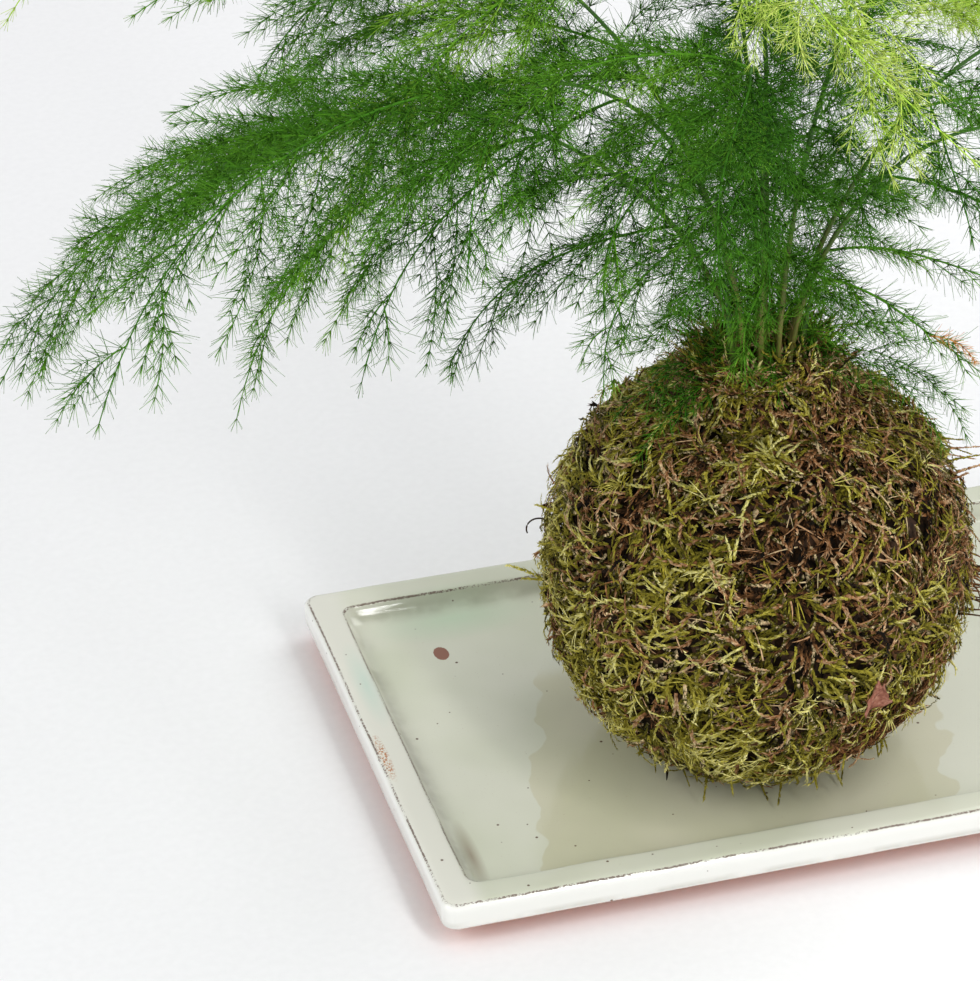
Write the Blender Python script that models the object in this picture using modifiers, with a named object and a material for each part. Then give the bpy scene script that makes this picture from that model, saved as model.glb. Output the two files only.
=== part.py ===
"""Kokedama: an asparagus fern growing out of a moss-wrapped soil ball that stands on a glazed drip tray.

Metres, +Z up. The origin is the middle of the tray's flat underside and the tray's long side runs along X.
Run with blender --background --python part.py, or from the text editor.
"""

import math

import bmesh
import bpy
from mathutils import Vector

# Clearance left between pieces that touch.
GAP = 0.0003

# Drip tray: a shallow rectangular dish whose rim overhangs a smaller foot slab.
TRAY_LENGTH = 0.220
TRAY_WIDTH = 0.150
TRAY_HEIGHT = 0.0145
TRAY_CORNER = 0.004
RIM_WIDTH = 0.0095
RIM_BAND = 0.0085
RIM_ARRIS = 0.0009
FLOOR_Z = 0.0095
RECESS_FILLET = 0.003
FOOT_INSET = 0.014
CUTTER_RISE = 0.02

# Moss ball: slightly boxy in outline, flattened where it stands, with a low neck around the canes.
BALL_X = -0.006
BALL_Y = -0.016
BALL_RADIUS = 0.057
BALL_HALF_HEIGHT = 0.0565
BALL_POWER = 2.3
BALL_SAG = 0.001
MOSS_THICKNESS = 0.005
NECK_FOOT_RADIUS = 0.025
NECK_LIP_RADIUS = 0.0165
NECK_HOLE_RADIUS = 0.0125
NECK_TOP_Z = 0.131
TURN_STEPS = 36
PROFILE_STEPS = 14

# Woody crown that all the canes grow from.
CROWN_TOP_Z = 0.128
CROWN_RADIUS = 0.0112
CANE_RING_RADIUS = 0.0072

# Canes: wiry stems that rise steeply and then arch over.
CANE_BASE_RADIUS = 0.00115
CANE_TIP_RADIUS = 0.0006
CANE_POINTS = 9
CANE_ARCH_OUT = 1.55
CANE_ARCH_UP = 1.7

# Fronds: flat sprays of side sprigs, drawn as combs of thin blades.
FROND_SEGMENTS = 8
STALK_SHARE = 0.16
RACHIS_HALF_WIDTH = 0.0007
BLADE_THICKNESS = 0.0009
SPRIG_SHARE = 0.40
SPRIG_ANGLE = math.radians(48)
SPRIG_DROOP = 0.22
SPRIG_TIP_WIDTH = 0.3
WEDGE_SLOPE = math.tan(math.radians(16.5))

# Each cane: direction seen from above in degrees, reach and height of its tip, then its fronds.
# Each frond: how far up the cane it leaves, its length, and its slope in degrees at its start and its end.
CANES = (
    (167, 0.092, 0.206, ((1.0, 0.128, -4, -58), (0.72, 0.112, -6, -76), (0.36, 0.075, -2, -72))),
    (131, 0.084, 0.226, ((1.0, 0.148, 16, -60), (0.62, 0.118, 10, -54), (0.30, 0.080, 5, -58))),
    (206, 0.090, 0.240, ((1.0, 0.146, 28, -74), (0.70, 0.102, 8, -76), (0.30, 0.058, 2, -74))),
    (244, 0.060, 0.244, ((1.0, 0.086, 24, -66), (0.55, 0.064, 12, -72), (0.20, 0.036, 4, -60))),
    (280, 0.044, 0.243, ((1.0, 0.072, 8, -58), (0.50, 0.054, 14, -64))),
    (320, 0.066, 0.212, ((1.0, 0.112, 14, -74), (0.55, 0.084, 2, -68), (0.22, 0.050, -4, -50))),
    (2, 0.078, 0.216, ((1.0, 0.118, 14, -66), (0.58, 0.096, 4, -56), (0.22, 0.070, -6, -44))),
    (42, 0.072, 0.230, ((1.0, 0.125, 18, -62), (0.58, 0.100, 10, -60), (0.24, 0.075, 0, -52))),
    (86, 0.064, 0.238, ((1.0, 0.118, 20, -64), (0.58, 0.095, 12, -60), (0.26, 0.072, 2, -52))),
)

# The leader is the middle cane. Each of its fronds: how far up it leaves, direction, length and slopes.
LEADER_TOP_Z = 0.276
LEADER_LEAN = 0.014
LEADER_AZIMUTH = 100
LEADER_FRONDS = ((0.99, 160, 0.120, 30, -32), (0.955, 30, 0.102, 32, -32), (0.92, 278, 0.124, 20, -54))

# Young shoots between the canes: direction, height and lean in degrees.
SHOOTS = ((187, 0.026, 6), (344, 0.020, 9))
SHOOT_RING_RADIUS = 0.0088
SHOOT_RADIUS = 0.0009
SHOOT_TIP_RADIUS = 0.0003

# Dark pointed pins that hold the moss on show under the ball: where each stands, from the tray's middle.
PINS = ((-0.0355, -0.0330), (0.0020, -0.0440))
PIN_RADIUS = 0.00055
PIN_TIP_RADIUS = 0.00012
PIN_TIP_Z = 0.0102

# A scrap of dead leaf that is caught on the moss.
SCRAP_AZIMUTH = math.radians(-70)
SCRAP_ELEVATION = math.radians(-14)
SCRAP_REACH = 0.0043
SCRAP_THICKNESS = 0.0004
SCRAP_TURN = math.radians(20)

BALL_BASE_Z = FLOOR_Z + GAP
BALL_CENTRE = Vector((BALL_X, BALL_Y, BALL_BASE_Z + BALL_HALF_HEIGHT - BALL_SAG))
BALL_FOOT = Vector((BALL_X, BALL_Y, 0.0))
CANE_BASE_Z = CROWN_TOP_Z + GAP
UP = Vector((0.0, 0.0, 1.0))


def clear_scene():
    for obj in list(bpy.data.objects):
        bpy.data.objects.remove(obj)


def make_collection(name):
    collection = bpy.data.collections.new(name)
    bpy.context.scene.collection.children.link(collection)
    return collection


def make_material(name, colour, roughness):
    material = bpy.data.materials.new(name)
    material.use_nodes = True
    shader = material.node_tree.nodes["Principled BSDF"]
    shader.inputs["Base Color"].default_value = (*colour, 1.0)
    shader.inputs["Roughness"].default_value = roughness
    shader.inputs["Metallic"].default_value = 0.0
    material.diffuse_color = (*colour, 1.0)
    return material


def add_object(name, data, material, collection):
    obj = bpy.data.objects.new(name, data)
    collection.objects.link(obj)
    if material:
        data.materials.append(material)
    return obj


def mesh_from(bm, name):
    bmesh.ops.recalc_face_normals(bm, faces=bm.faces)
    mesh = bpy.data.meshes.new(name)
    bm.to_mesh(mesh)
    bm.free()
    return mesh


# Drip tray


def bevel(bm, edges, width, segments):
    bmesh.ops.bevel(bm, geom=edges, offset=width, segments=segments, profile=0.5, affect="EDGES")


def edges_at(bm, height):
    """The edges that lie wholly in the level plane at this height."""
    return [edge for edge in bm.edges if all(abs(vert.co.z - height) < 1e-6 for vert in edge.verts)]


def rounded_block(length, width, bottom, top, corner):
    """A box between two heights with its four upright edges rounded."""
    bm = bmesh.new()
    bmesh.ops.create_cube(bm, size=1.0)
    bmesh.ops.scale(bm, vec=(length, width, top - bottom), verts=bm.verts)
    bmesh.ops.translate(bm, vec=(0, 0, (top + bottom) / 2), verts=bm.verts)
    upright = [edge for edge in bm.edges if abs(edge.verts[0].co.z - edge.verts[1].co.z) > 1e-6]
    bevel(bm, upright, corner, 4)
    return bm


def add_boolean(obj, operation, other):
    modifier = obj.modifiers.new(operation.lower(), "BOOLEAN")
    modifier.operation = operation
    modifier.solver = "EXACT"
    modifier.object = other
    other.display_type = "WIRE"
    other.hide_render = True


def build_tray(collection, cutters, material):
    rim_bottom = TRAY_HEIGHT - RIM_BAND
    slab = rounded_block(TRAY_LENGTH, TRAY_WIDTH, rim_bottom, TRAY_HEIGHT, TRAY_CORNER)
    bevel(slab, edges_at(slab, TRAY_HEIGHT), RIM_ARRIS, 2)
    tray = add_object("drip_tray", mesh_from(slab, "drip_tray"), material, collection)

    inset = 2 * FOOT_INSET
    foot_top = (rim_bottom + FLOOR_Z) / 2
    foot = rounded_block(TRAY_LENGTH - inset, TRAY_WIDTH - inset, 0.0, foot_top, TRAY_CORNER)
    add_boolean(tray, "UNION", add_object("tray_foot_slab", mesh_from(foot, "foot"), None, cutters))

    inset = 2 * RIM_WIDTH
    top = TRAY_HEIGHT + CUTTER_RISE
    hollow = rounded_block(TRAY_LENGTH - inset, TRAY_WIDTH - inset, FLOOR_Z, top, TRAY_CORNER)
    bevel(hollow, edges_at(hollow, FLOOR_Z), RECESS_FILLET, 3)
    add_boolean(tray, "DIFFERENCE", add_object("tray_recess", mesh_from(hollow, "recess"), None, cutters))


# Moss ball, soil core and crown


def ball_outline(inset, least_reach):
    """(reach, height) points down the ball shrunk by inset, ending on the axis in the flat it stands on.

    Points narrower than least_reach are left off the upper end.
    """
    points = []
    for step in range(PROFILE_STEPS):
        angle = math.pi / 2 - math.pi * step / PROFILE_STEPS
        reach = (BALL_RADIUS - inset) * math.cos(angle) ** (2 / BALL_POWER)
        rise = abs(math.sin(angle)) ** (2 / BALL_POWER) * (BALL_HALF_HEIGHT - inset)
        height = BALL_CENTRE.z + math.copysign(rise, angle)
        if angle < 0 or reach >= least_reach:
            points.append((reach, max(height, BALL_BASE_Z + inset)))
    return points + [(0.0, BALL_BASE_Z + inset)]


def turned_object(name, profile, material, collection):
    """Turns a profile, listed from the top down its outer side, about the ball's upright axis."""
    mesh = bpy.data.meshes.new(name)
    edges = [(index, index + 1) for index in range(len(profile) - 1)]
    mesh.from_pydata([(reach, 0.0, height) for reach, height in profile], edges, [])
    obj = add_object(name, mesh, material, collection)
    obj.location = BALL_FOOT
    screw = obj.modifiers.new("turn", "SCREW")
    screw.axis = "Z"
    screw.steps = TURN_STEPS
    screw.render_steps = TURN_STEPS
    screw.use_merge_vertices = True
    screw.merge_threshold = 0.00005
    return obj


def build_ball(collection, materials):
    """The hollow moss cover and the soil core that fills it. Returns the height of the core's top."""
    outer = ball_outline(0.0, NECK_FOOT_RADIUS)
    inner = ball_outline(MOSS_THICKNESS, NECK_HOLE_RADIUS)
    lip = [(NECK_HOLE_RADIUS, NECK_TOP_Z), (NECK_LIP_RADIUS, NECK_TOP_Z)]
    turned_object("moss_cover", inner[::-1] + lip + outer, materials["moss"], collection)

    core_inset = MOSS_THICKNESS + GAP
    core_top = (0.0, BALL_CENTRE.z + BALL_HALF_HEIGHT - core_inset)
    core = [core_top] + ball_outline(core_inset, core_inset)
    turned_object("soil_core", core, materials["soil"], collection)
    return core_top[1]


def build_crown(collection, material, soil_top):
    bottom = soil_top + GAP
    rise = CROWN_TOP_Z - bottom
    profile = (
        (0.0, CROWN_TOP_Z),
        (CROWN_RADIUS * 0.88, CROWN_TOP_Z),
        (CROWN_RADIUS, bottom + rise * 0.72),
        (CROWN_RADIUS * 0.9, bottom + rise * 0.3),
        (CROWN_RADIUS * 0.6, bottom),
        (0.0, bottom),
    )
    turned_object("root_crown", profile, material, collection)


# Canes and shoots


def outward(degrees):
    angle = math.radians(degrees)
    return Vector((math.cos(angle), math.sin(angle), 0.0))


def tapered_tube(name, points, start_radius, end_radius, material, collection):
    """A curve object through the points, with filled round ends and an even taper."""
    curve = bpy.data.curves.new(name, "CURVE")
    curve.dimensions = "3D"
    curve.bevel_depth = start_radius
    curve.bevel_resolution = 1
    curve.use_fill_caps = True
    spline = curve.splines.new("POLY")
    spline.points.add(len(points) - 1)
    for index, point in enumerate(points):
        share = index / (len(points) - 1)
        spline.points[index].co = (*point, 1.0)
        spline.points[index].radius = 1 + (end_radius / start_radius - 1) * share
    return add_object(name, curve, material, collection)


def cane_point(cane, share):
    """A point on an arching cane, at a share of the way from its base to its tip."""
    degrees, reach, top_z = cane[:3]
    out = CANE_RING_RADIUS + (reach - CANE_RING_RADIUS) * share ** CANE_ARCH_OUT
    height = CANE_BASE_Z + (top_z - CANE_BASE_Z) * (1 - (1 - share) ** CANE_ARCH_UP)
    return BALL_FOOT + outward(degrees) * out + UP * height


def leader_point(share):
    """A point on the middle cane, which leans a little more the higher it gets."""
    lean = outward(LEADER_AZIMUTH) * LEADER_LEAN * share ** 2
    return BALL_FOOT + lean + UP * (CANE_BASE_Z + (LEADER_TOP_Z - CANE_BASE_Z) * share)


def cane_radius(share):
    return CANE_BASE_RADIUS + (CANE_TIP_RADIUS - CANE_BASE_RADIUS) * share


def shares(count):
    return [step / (count - 1) for step in range(count)]


def build_canes(collection, material):
    for number, cane in enumerate(CANES, 1):
        points = [cane_point(cane, share) for share in shares(CANE_POINTS)]
        name = f"cane_{number:02d}"
        tapered_tube(name, points, CANE_BASE_RADIUS, CANE_TIP_RADIUS, material, collection)
    points = [leader_point(share) for share in shares(CANE_POINTS)]
    tapered_tube("cane_leader", points, CANE_BASE_RADIUS, CANE_TIP_RADIUS, material, collection)


def build_shoots(collection, material):
    for number, (degrees, height, lean) in enumerate(SHOOTS, 1):
        side = outward(degrees)
        foot = BALL_FOOT + side * SHOOT_RING_RADIUS + UP * CANE_BASE_Z
        slant = UP + side * math.tan(math.radians(lean))
        points = [foot + slant * height * share for share in shares(3)]
        name = f"young_shoot_{number}"
        tapered_tube(name, points, SHOOT_RADIUS, SHOOT_TIP_RADIUS, material, collection)


# Fronds


def frond_path(start, degrees, length, first_slope, last_slope, stations):
    """Points and unit directions along a frond whose slope turns evenly from its start to its end."""
    side = outward(degrees)
    points, tangents = [], []
    point = start.copy()
    step = length / (stations - 1)
    for share in shares(stations):
        slope = math.radians(first_slope + (last_slope - first_slope) * share)
        tangent = side * math.cos(slope) + UP * math.sin(slope)
        points.append(point.copy())
        tangents.append(tangent)
        point = point + tangent * step
    return points, tangents


def sprig_length(length, share, centre_distance, tangent):
    """How long a side sprig is: a feather's outline, kept inside the frond's own wedge seen from above."""
    feather = SPRIG_SHARE * length * (1 - share) ** 0.75
    level = math.hypot(tangent.x, tangent.y)
    room = math.sin(SPRIG_ANGLE) - WEDGE_SLOPE * math.cos(SPRIG_ANGLE) * level
    return min(feather, centre_distance * WEDGE_SLOPE / room)


def add_sprig(bm, root_a, root_b, tangent, side, length):
    """A tapering drooping blade that grows out of the rachis edge between two of its points."""
    direction = tangent * math.cos(SPRIG_ANGLE) + side * math.sin(SPRIG_ANGLE)
    near = (root_a, root_b)
    for share in (0.5, 1.0):
        width = 1 + (SPRIG_TIP_WIDTH - 1) * share
        middle = (root_a.co + root_b.co) / 2 + direction * length * share
        middle -= UP * SPRIG_DROOP * length * share ** 2
        half = (root_b.co - root_a.co) / 2 * width
        far = (bm.verts.new(middle - half), bm.verts.new(middle + half))
        bm.faces.new((near[0], near[1], far[1], far[0]))
        near = far


def build_frond(name, start, degrees, length, slopes, origin, material, collection):
    """A frond: a narrow rachis strip with a sprig on each side of every other stretch, thickened to a solid."""
    stations = 2 * FROND_SEGMENTS + 2
    points, tangents = frond_path(start, degrees, length, *slopes, stations)
    side = UP.cross(outward(degrees))
    bm = bmesh.new()
    edges = []
    for point in points:
        left = bm.verts.new(point + side * RACHIS_HALF_WIDTH)
        right = bm.verts.new(point - side * RACHIS_HALF_WIDTH)
        edges.append((left, right))
    for index in range(stations - 1):
        (left, right), (next_left, next_right) = edges[index], edges[index + 1]
        bm.faces.new((right, next_right, next_left, left))
        share = (index + 0.5) / (stations - 1)
        if index % 2 == 0 or share < STALK_SHARE:
            continue
        flat = points[index] - origin
        sprig = sprig_length(length, share, math.hypot(flat.x, flat.y), tangents[index])
        add_sprig(bm, left, next_left, tangents[index], side, sprig)
        add_sprig(bm, next_right, right, tangents[index], -side, sprig)
    obj = add_object(name, mesh_from(bm, name), material, collection)
    solid = obj.modifiers.new("thickness", "SOLIDIFY")
    solid.thickness = BLADE_THICKNESS
    solid.offset = 0.0


def seat_on(stem_at, share, direction):
    """Where a frond starts: just clear of the stem's side, or of its end if the frond carries on from the tip."""
    point = stem_at(share)
    tangent = (point - stem_at(share - 0.01)).normalized()
    if share == 1.0:
        return point + tangent * GAP
    sideways = (direction - tangent * direction.dot(tangent)).normalized()
    return point + sideways * (cane_radius(share) + BLADE_THICKNESS / 2 + GAP)


def build_fronds(collection, material):
    for number, cane in enumerate(CANES, 1):
        for letter, (share, length, *slopes) in zip("abc", cane[3]):
            slope = math.radians(slopes[0])
            direction = outward(cane[0]) * math.cos(slope) + UP * math.sin(slope)
            start = seat_on(lambda part: cane_point(cane, part), share, direction)
            name = f"frond_{number:02d}{letter}"
            build_frond(name, start, cane[0], length, slopes, BALL_FOOT, material, collection)
    for letter, (share, degrees, length, *slopes) in zip("abc", LEADER_FRONDS):
        start = seat_on(leader_point, share, outward(degrees))
        name = f"frond_leader_{letter}"
        build_frond(name, start, degrees, length, slopes, leader_point(share), material, collection)


# Loose bits on the moss


def build_pins(collection, material):
    """Each pin stands on its point just clear of the tray and ends just short of the moss."""
    for number, (x, y) in enumerate(PINS, 1):
        reach = math.hypot(x - BALL_X, y - BALL_Y)
        share = (reach + PIN_RADIUS) / BALL_RADIUS
        drop = BALL_HALF_HEIGHT * (1 - share ** BALL_POWER) ** (1 / BALL_POWER)
        top = max(BALL_CENTRE.z - drop, BALL_BASE_Z) - GAP
        points = [Vector((x, y, top)), Vector((x, y, PIN_TIP_Z))]
        tapered_tube(f"moss_pin_{number}", points, PIN_RADIUS, PIN_TIP_RADIUS, material, collection)


def build_scrap(collection, material):
    """A three-cornered flake lying flat against the ball."""
    curve = bpy.data.curves.new("leaf_scrap", "CURVE")
    curve.dimensions = "2D"
    curve.fill_mode = "BOTH"
    curve.extrude = SCRAP_THICKNESS / 2
    spline = curve.splines.new("POLY")
    spline.points.add(4)
    for index, (angle, reach) in enumerate(((90, 1.0), (150, 0.55), (205, 0.95), (268, 0.6), (335, 1.0))):
        angle = math.radians(angle)
        flat = (math.cos(angle) * reach * SCRAP_REACH, math.sin(angle) * reach * SCRAP_REACH)
        spline.points[index].co = (*flat, 0.0, 1.0)
    spline.use_cyclic_u = True
    obj = add_object("leaf_scrap", curve, material, collection)
    normal = outward(math.degrees(SCRAP_AZIMUTH)) * math.cos(SCRAP_ELEVATION)
    normal += UP * math.sin(SCRAP_ELEVATION)
    stretch = (normal.xy.length ** BALL_POWER + abs(normal.z) ** BALL_POWER) ** (-1 / BALL_POWER)
    obj.rotation_mode = "QUATERNION"
    obj.rotation_quaternion = normal.to_track_quat("Z", "Y")
    obj.location = BALL_CENTRE + normal * (BALL_RADIUS * stretch + GAP + SCRAP_THICKNESS / 2)


def main():
    clear_scene()
    kokedama = make_collection("kokedama")
    cutters = make_collection("cutters")
    cutters.hide_render = True
    glaze = make_material("celadon_glaze", (0.55, 0.57, 0.49), 0.18)
    moss = make_material("sheet_moss", (0.17, 0.17, 0.04), 0.9)
    soil = make_material("clay_soil", (0.07, 0.045, 0.03), 0.95)
    wood = make_material("woody_crown", (0.24, 0.15, 0.08), 0.8)
    cane = make_material("wiry_cane", (0.28, 0.30, 0.10), 0.55)
    shoot = make_material("young_shoot", (0.25, 0.42, 0.05), 0.5)
    foliage = make_material("fern_foliage", (0.05, 0.24, 0.05), 0.6)
    dark = make_material("dark_pin", (0.03, 0.025, 0.02), 0.5)
    leaf = make_material("dead_leaf", (0.42, 0.17, 0.12), 0.7)

    build_tray(kokedama, cutters, glaze)
    soil_top = build_ball(kokedama, {"moss": moss, "soil": soil})
    build_crown(kokedama, wood, soil_top)
    build_canes(kokedama, cane)
    build_shoots(kokedama, shoot)
    build_fronds(kokedama, foliage)
    build_pins(kokedama, dark)
    build_scrap(kokedama, leaf)


main()
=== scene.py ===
# %% [markdown]
# # A moss ball plant on a glazed tray
#
# A kokedama is a house plant with no pot. Its roots sit in a ball of clay soil, a coat of sheet moss is wrapped
# round the soil, and the ball stands on a glazed stoneware tray that catches the water. The plant here is an
# asparagus fern, whose fronds are flat sprays of needles as fine as thread.
#
# The imported model gives the frame that every piece goes into. It is loaded first, and the boxes of its parts give
# the sizes that the finished pieces are built to.

# %% Load the frame
import math
from functools import partial

import bmesh
import bpy
import numpy as np
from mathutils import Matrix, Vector


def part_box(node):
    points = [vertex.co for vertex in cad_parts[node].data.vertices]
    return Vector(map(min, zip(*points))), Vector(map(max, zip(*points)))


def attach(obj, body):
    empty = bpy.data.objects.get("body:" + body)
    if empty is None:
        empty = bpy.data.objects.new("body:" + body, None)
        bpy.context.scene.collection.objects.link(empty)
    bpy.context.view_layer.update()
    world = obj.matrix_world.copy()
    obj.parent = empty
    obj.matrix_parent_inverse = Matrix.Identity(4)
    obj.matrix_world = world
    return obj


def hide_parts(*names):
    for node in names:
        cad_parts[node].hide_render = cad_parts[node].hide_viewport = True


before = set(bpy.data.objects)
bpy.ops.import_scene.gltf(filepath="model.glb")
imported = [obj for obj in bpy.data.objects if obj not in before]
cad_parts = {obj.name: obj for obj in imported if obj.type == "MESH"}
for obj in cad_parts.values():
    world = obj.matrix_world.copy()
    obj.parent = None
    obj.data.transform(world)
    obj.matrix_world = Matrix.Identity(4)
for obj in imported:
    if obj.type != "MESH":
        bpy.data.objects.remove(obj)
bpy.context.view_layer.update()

# %% [markdown]
# ## Small tools
#
# Colours are written as sRGB hex, the way a paint chart or a screen gives them. Blender's shaders work in linear
# light, so one function turns one into the other. A second small function adds any shader node, with its
# settings and its links, because a finish is easier to read when each node is one line.

# %% Colour and node helpers
MM = 0.001
UP = np.array((0.0, 0.0, 1.0))
LAYERED = {"out": 2, "data_type": "RGBA"}
EASED = {"interpolation_type": "SMOOTHSTEP"}
TIMES, TIMES_PLUS = {"operation": "MULTIPLY"}, {"operation": "MULTIPLY_ADD"}


def linear(hex_code):
    """The linear colour of an sRGB hex code."""
    channels = [int(hex_code[place:place + 2], 16) / 255 for place in (0, 2, 4)]
    return (*(c / 12.92 if c <= 0.04045 else ((c + 0.055) / 1.055) ** 2.4 for c in channels), 1.0)


def add(tree, kind, sockets=None, out=0, stops=None, **settings):
    """Adds a shader node and returns one output. sockets feeds its inputs: a value, a hex colour or an output."""
    node = tree.nodes.new("ShaderNode" + kind)
    for name, value in settings.items():
        setattr(node, name, value)
    for place, (position, colour) in enumerate(stops or ()):
        ramp = node.color_ramp.elements
        stop = ramp[place] if place < 2 else ramp.new(position)
        stop.position, stop.color = position, linear(colour)
    for name, value in (sockets or {}).items():
        if isinstance(value, bpy.types.NodeSocket):
            tree.links.new(value, node.inputs[name])
        else:
            node.inputs[name].default_value = linear(value) if isinstance(value, str) else value
    return node.outputs[out]


print("a mid celadon in linear light:", [round(c, 3) for c in linear("BDBDA9")[:3]])

# %% [markdown]
# ## Starting and finishing a material
#
# Every material here starts and ends in the same way. A value that is even all over is set on the shader's own
# socket, and only what varies over the surface is worked out by nodes, which are linked to the shader at the end.

# %% Start and finish a material
def new_material(name, **even_values):
    """A material, its nodes, its shader with even values set on the sockets, and the place on the object."""
    material = bpy.data.materials.new(name)
    material.use_nodes = True
    tree = material.node_tree
    shader = tree.nodes["Principled BSDF"]
    for socket, value in even_values.items():
        shader.inputs[socket.replace("_", " ")].default_value = value
    return material, tree, shader, add(tree, "TexCoord", out="Object")


def finish(shader, **sources):
    """Links outputs to the shader's sockets."""
    for socket, source in sources.items():
        shader.id_data.links.new(source, shader.inputs[socket.replace("_", " ")])


print("materials in the packed model:", len(bpy.data.materials))

# %% [markdown]
# ## Many small solids at once
#
# Moss and needles are far too many to model one at a time, and Blender's hair isn't a solid that can be
# exported. So they are made as arrays of numbers, thousands in one go. First come the directions that all of
# them need. Each function takes one direction or many at once.

# %% Directions
def unit(vectors):
    """The same directions, one long."""
    return vectors / np.maximum(np.linalg.norm(vectors, axis=-1, keepdims=True), 1e-12)


def frame_of(headings):
    """Two directions square to each heading and to each other."""
    guide = np.where(np.abs(headings[..., 2:]) < 0.95, UP, (1.0, 0.0, 0.0))
    across = unit(np.cross(headings, guide))
    return across, np.cross(headings, across)


def outward(degrees):
    """The level direction at so many degrees round from the tray's long way."""
    return np.array((math.cos(math.radians(degrees)), math.sin(math.radians(degrees)), 0.0))


def aimed(azimuth_degrees, elevation_degrees):
    """The direction at so many degrees round and so many up."""
    flat = math.cos(math.radians(elevation_degrees))
    return outward(azimuth_degrees) * flat + UP * math.sin(math.radians(elevation_degrees))


print("up the ball by 30 degrees:", np.round(aimed(0, 30), 3))

# %% [markdown]
# ## Unevenness and walls
#
# Nothing that grows or is made by hand is even. Blender's displacement would need a fine mesh and a texture. A sum
# of sine waves in random directions is simpler: a smooth field that can be read at any point. The walls between
# one ring of points and the next are made by one function too, whether the rings are a stem's or the tray's.

# %% Unevenness and walls
def ripple(points, size, seed, waves=14):
    """A smooth uneven field with a swell per size: many sine waves in random directions, mostly -1 to 1."""
    rng = np.random.default_rng(seed)
    rates = unit(rng.normal(size=(waves, 3))) / (size * rng.uniform(0.7, 1.5, (waves, 1))) * math.tau
    return np.sin(points @ rates.T + rng.uniform(0, math.tau, waves)).sum(-1) / math.sqrt(waves)


def walls(index):
    """Triangles between each row of point numbers and the next, all the way round."""
    near, far = index[..., :-1, :], index[..., 1:, :]
    near_next, far_next = np.roll(near, -1, -1), np.roll(far, -1, -1)
    return np.stack([near, near_next, far_next, near, far_next, far], -1).reshape(-1, 3)


def turned(rings):
    """Points and triangles of a closed solid with rings for its walls and a fan over each end."""
    around = len(rings[0])
    points = np.vstack([*rings, rings[0].mean(0), rings[-1].mean(0)])
    index = np.arange(len(rings) * around).reshape(len(rings), around)
    fans = [np.stack([first, then, np.full(around, middle)], -1) for first, then, middle in (
        (np.roll(index[0], -1), index[0], len(points) - 2), (index[-1], np.roll(index[-1], -1), len(points) - 1))]
    return points, np.concatenate([walls(index), *fans])


print("a four-sided wall has", len(walls(np.arange(8).reshape(2, 4))), "triangles")

# %% [markdown]
# ## Three kinds of small solid
#
# One function turns a whole set of paths into closed tapering stems. One makes moss leaves: three-sided points
# whose open foot is hidden in the stem. One makes needles: closed slivers of four triangles, the fewest that a
# solid can have. Each point also carries a tone from 0 to 1, which a material turns into its colour.

# %% Stems, leaves and needles
def stems(paths, radii, tones, sides=3):
    """Closed round stems along many paths. paths is (stems, stations, 3); radii and tones fit its first two."""
    count, stations, _ = paths.shape
    radii, tones = (np.broadcast_to(values, (count, stations)) for values in (radii, tones))
    across, over = frame_of(unit(np.gradient(paths, axis=1)))
    turn = (np.arange(sides) * math.tau / sides)[:, None]
    ring = across[:, :, None] * np.cos(turn) + over[:, :, None] * np.sin(turn)
    points = paths[:, :, None] + ring * radii[:, :, None, None]
    index = np.arange(count * stations * sides).reshape(count, stations, sides)
    triangles = [walls(index)]
    for side in range(1, sides - 1):
        triangles += [index[:, 0, [0, side + 1, side]], index[:, -1, [0, side, side + 1]]]
    return points.reshape(-1, 3), np.concatenate(triangles), np.repeat(tones.reshape(-1), sides)


def spikes(bases, headings, lengths, half_widths, tones, tip_tones, facing, flat):
    """Slender three-sided points, open at the foot. facing turns the flatter side, and flat is its thickness."""
    across = unit(np.cross(headings, facing))
    over = np.cross(headings, across)
    half_widths = np.broadcast_to(half_widths, len(bases))[:, None]
    rings = [bases + (across * math.cos(turn) + over * math.sin(turn) * flat) * half_widths
             for turn in np.radians((90, 210, 330))]
    points = np.stack([*rings, bases + headings * lengths[:, None]], axis=1)
    index = 4 * np.arange(len(bases))[:, None, None]
    triangles = (index + np.array([(0, 1, 3), (1, 2, 3), (2, 0, 3)])).reshape(-1, 3)
    tones, tip_tones = (np.broadcast_to(values, len(bases)) for values in (tones, tip_tones))
    return points.reshape(-1, 3), triangles, np.stack([tones] * 3 + [tip_tones], axis=1).reshape(-1)


def needles(bases, headings, lengths, half_width, tones, tip_tones, spin):
    """Closed four-sided slivers whose foot and tip edges are square to each other, as thin from any side."""
    across, over = frame_of(headings)
    spin = spin[:, None]
    foot = (across * np.cos(spin) + over * np.sin(spin)) * half_width
    tip = (over * np.cos(spin) - across * np.sin(spin)) * half_width * 0.5
    ends = bases + headings * lengths[:, None]
    points = np.stack([bases + foot, bases - foot, ends + tip, ends - tip], axis=1)
    index = 4 * np.arange(len(bases))[:, None, None]
    triangles = (index + np.array([(0, 1, 2), (1, 0, 3), (0, 2, 3), (1, 3, 2)])).reshape(-1, 3)
    return points.reshape(-1, 3), triangles, np.stack([tones, tones, tip_tones, tip_tones], axis=1).reshape(-1)


def join(parts):
    """One set of points, triangles and tones from several."""
    starts = np.cumsum([0] + [len(points) for points, _, _ in parts[:-1]])
    points, triangles, tones = zip(*parts)
    triangles = [triangle + start for triangle, start in zip(triangles, starts)]
    return np.concatenate(points), np.concatenate(triangles), np.concatenate(tones)


print("a needle has", len(needles(np.zeros((1, 3)), UP[None], np.ones(1), 1, *np.zeros((3, 1)))[1]), "triangles")

# %% [markdown]
# ## From arrays to objects
#
# A mesh of a million triangles is slow to build point by point, so the arrays are handed to Blender whole.
# Every piece rides on the plant's one body and hides the plain CAD nodes that it replaces.

# %% Piece helper
triangle_count = {}


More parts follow.
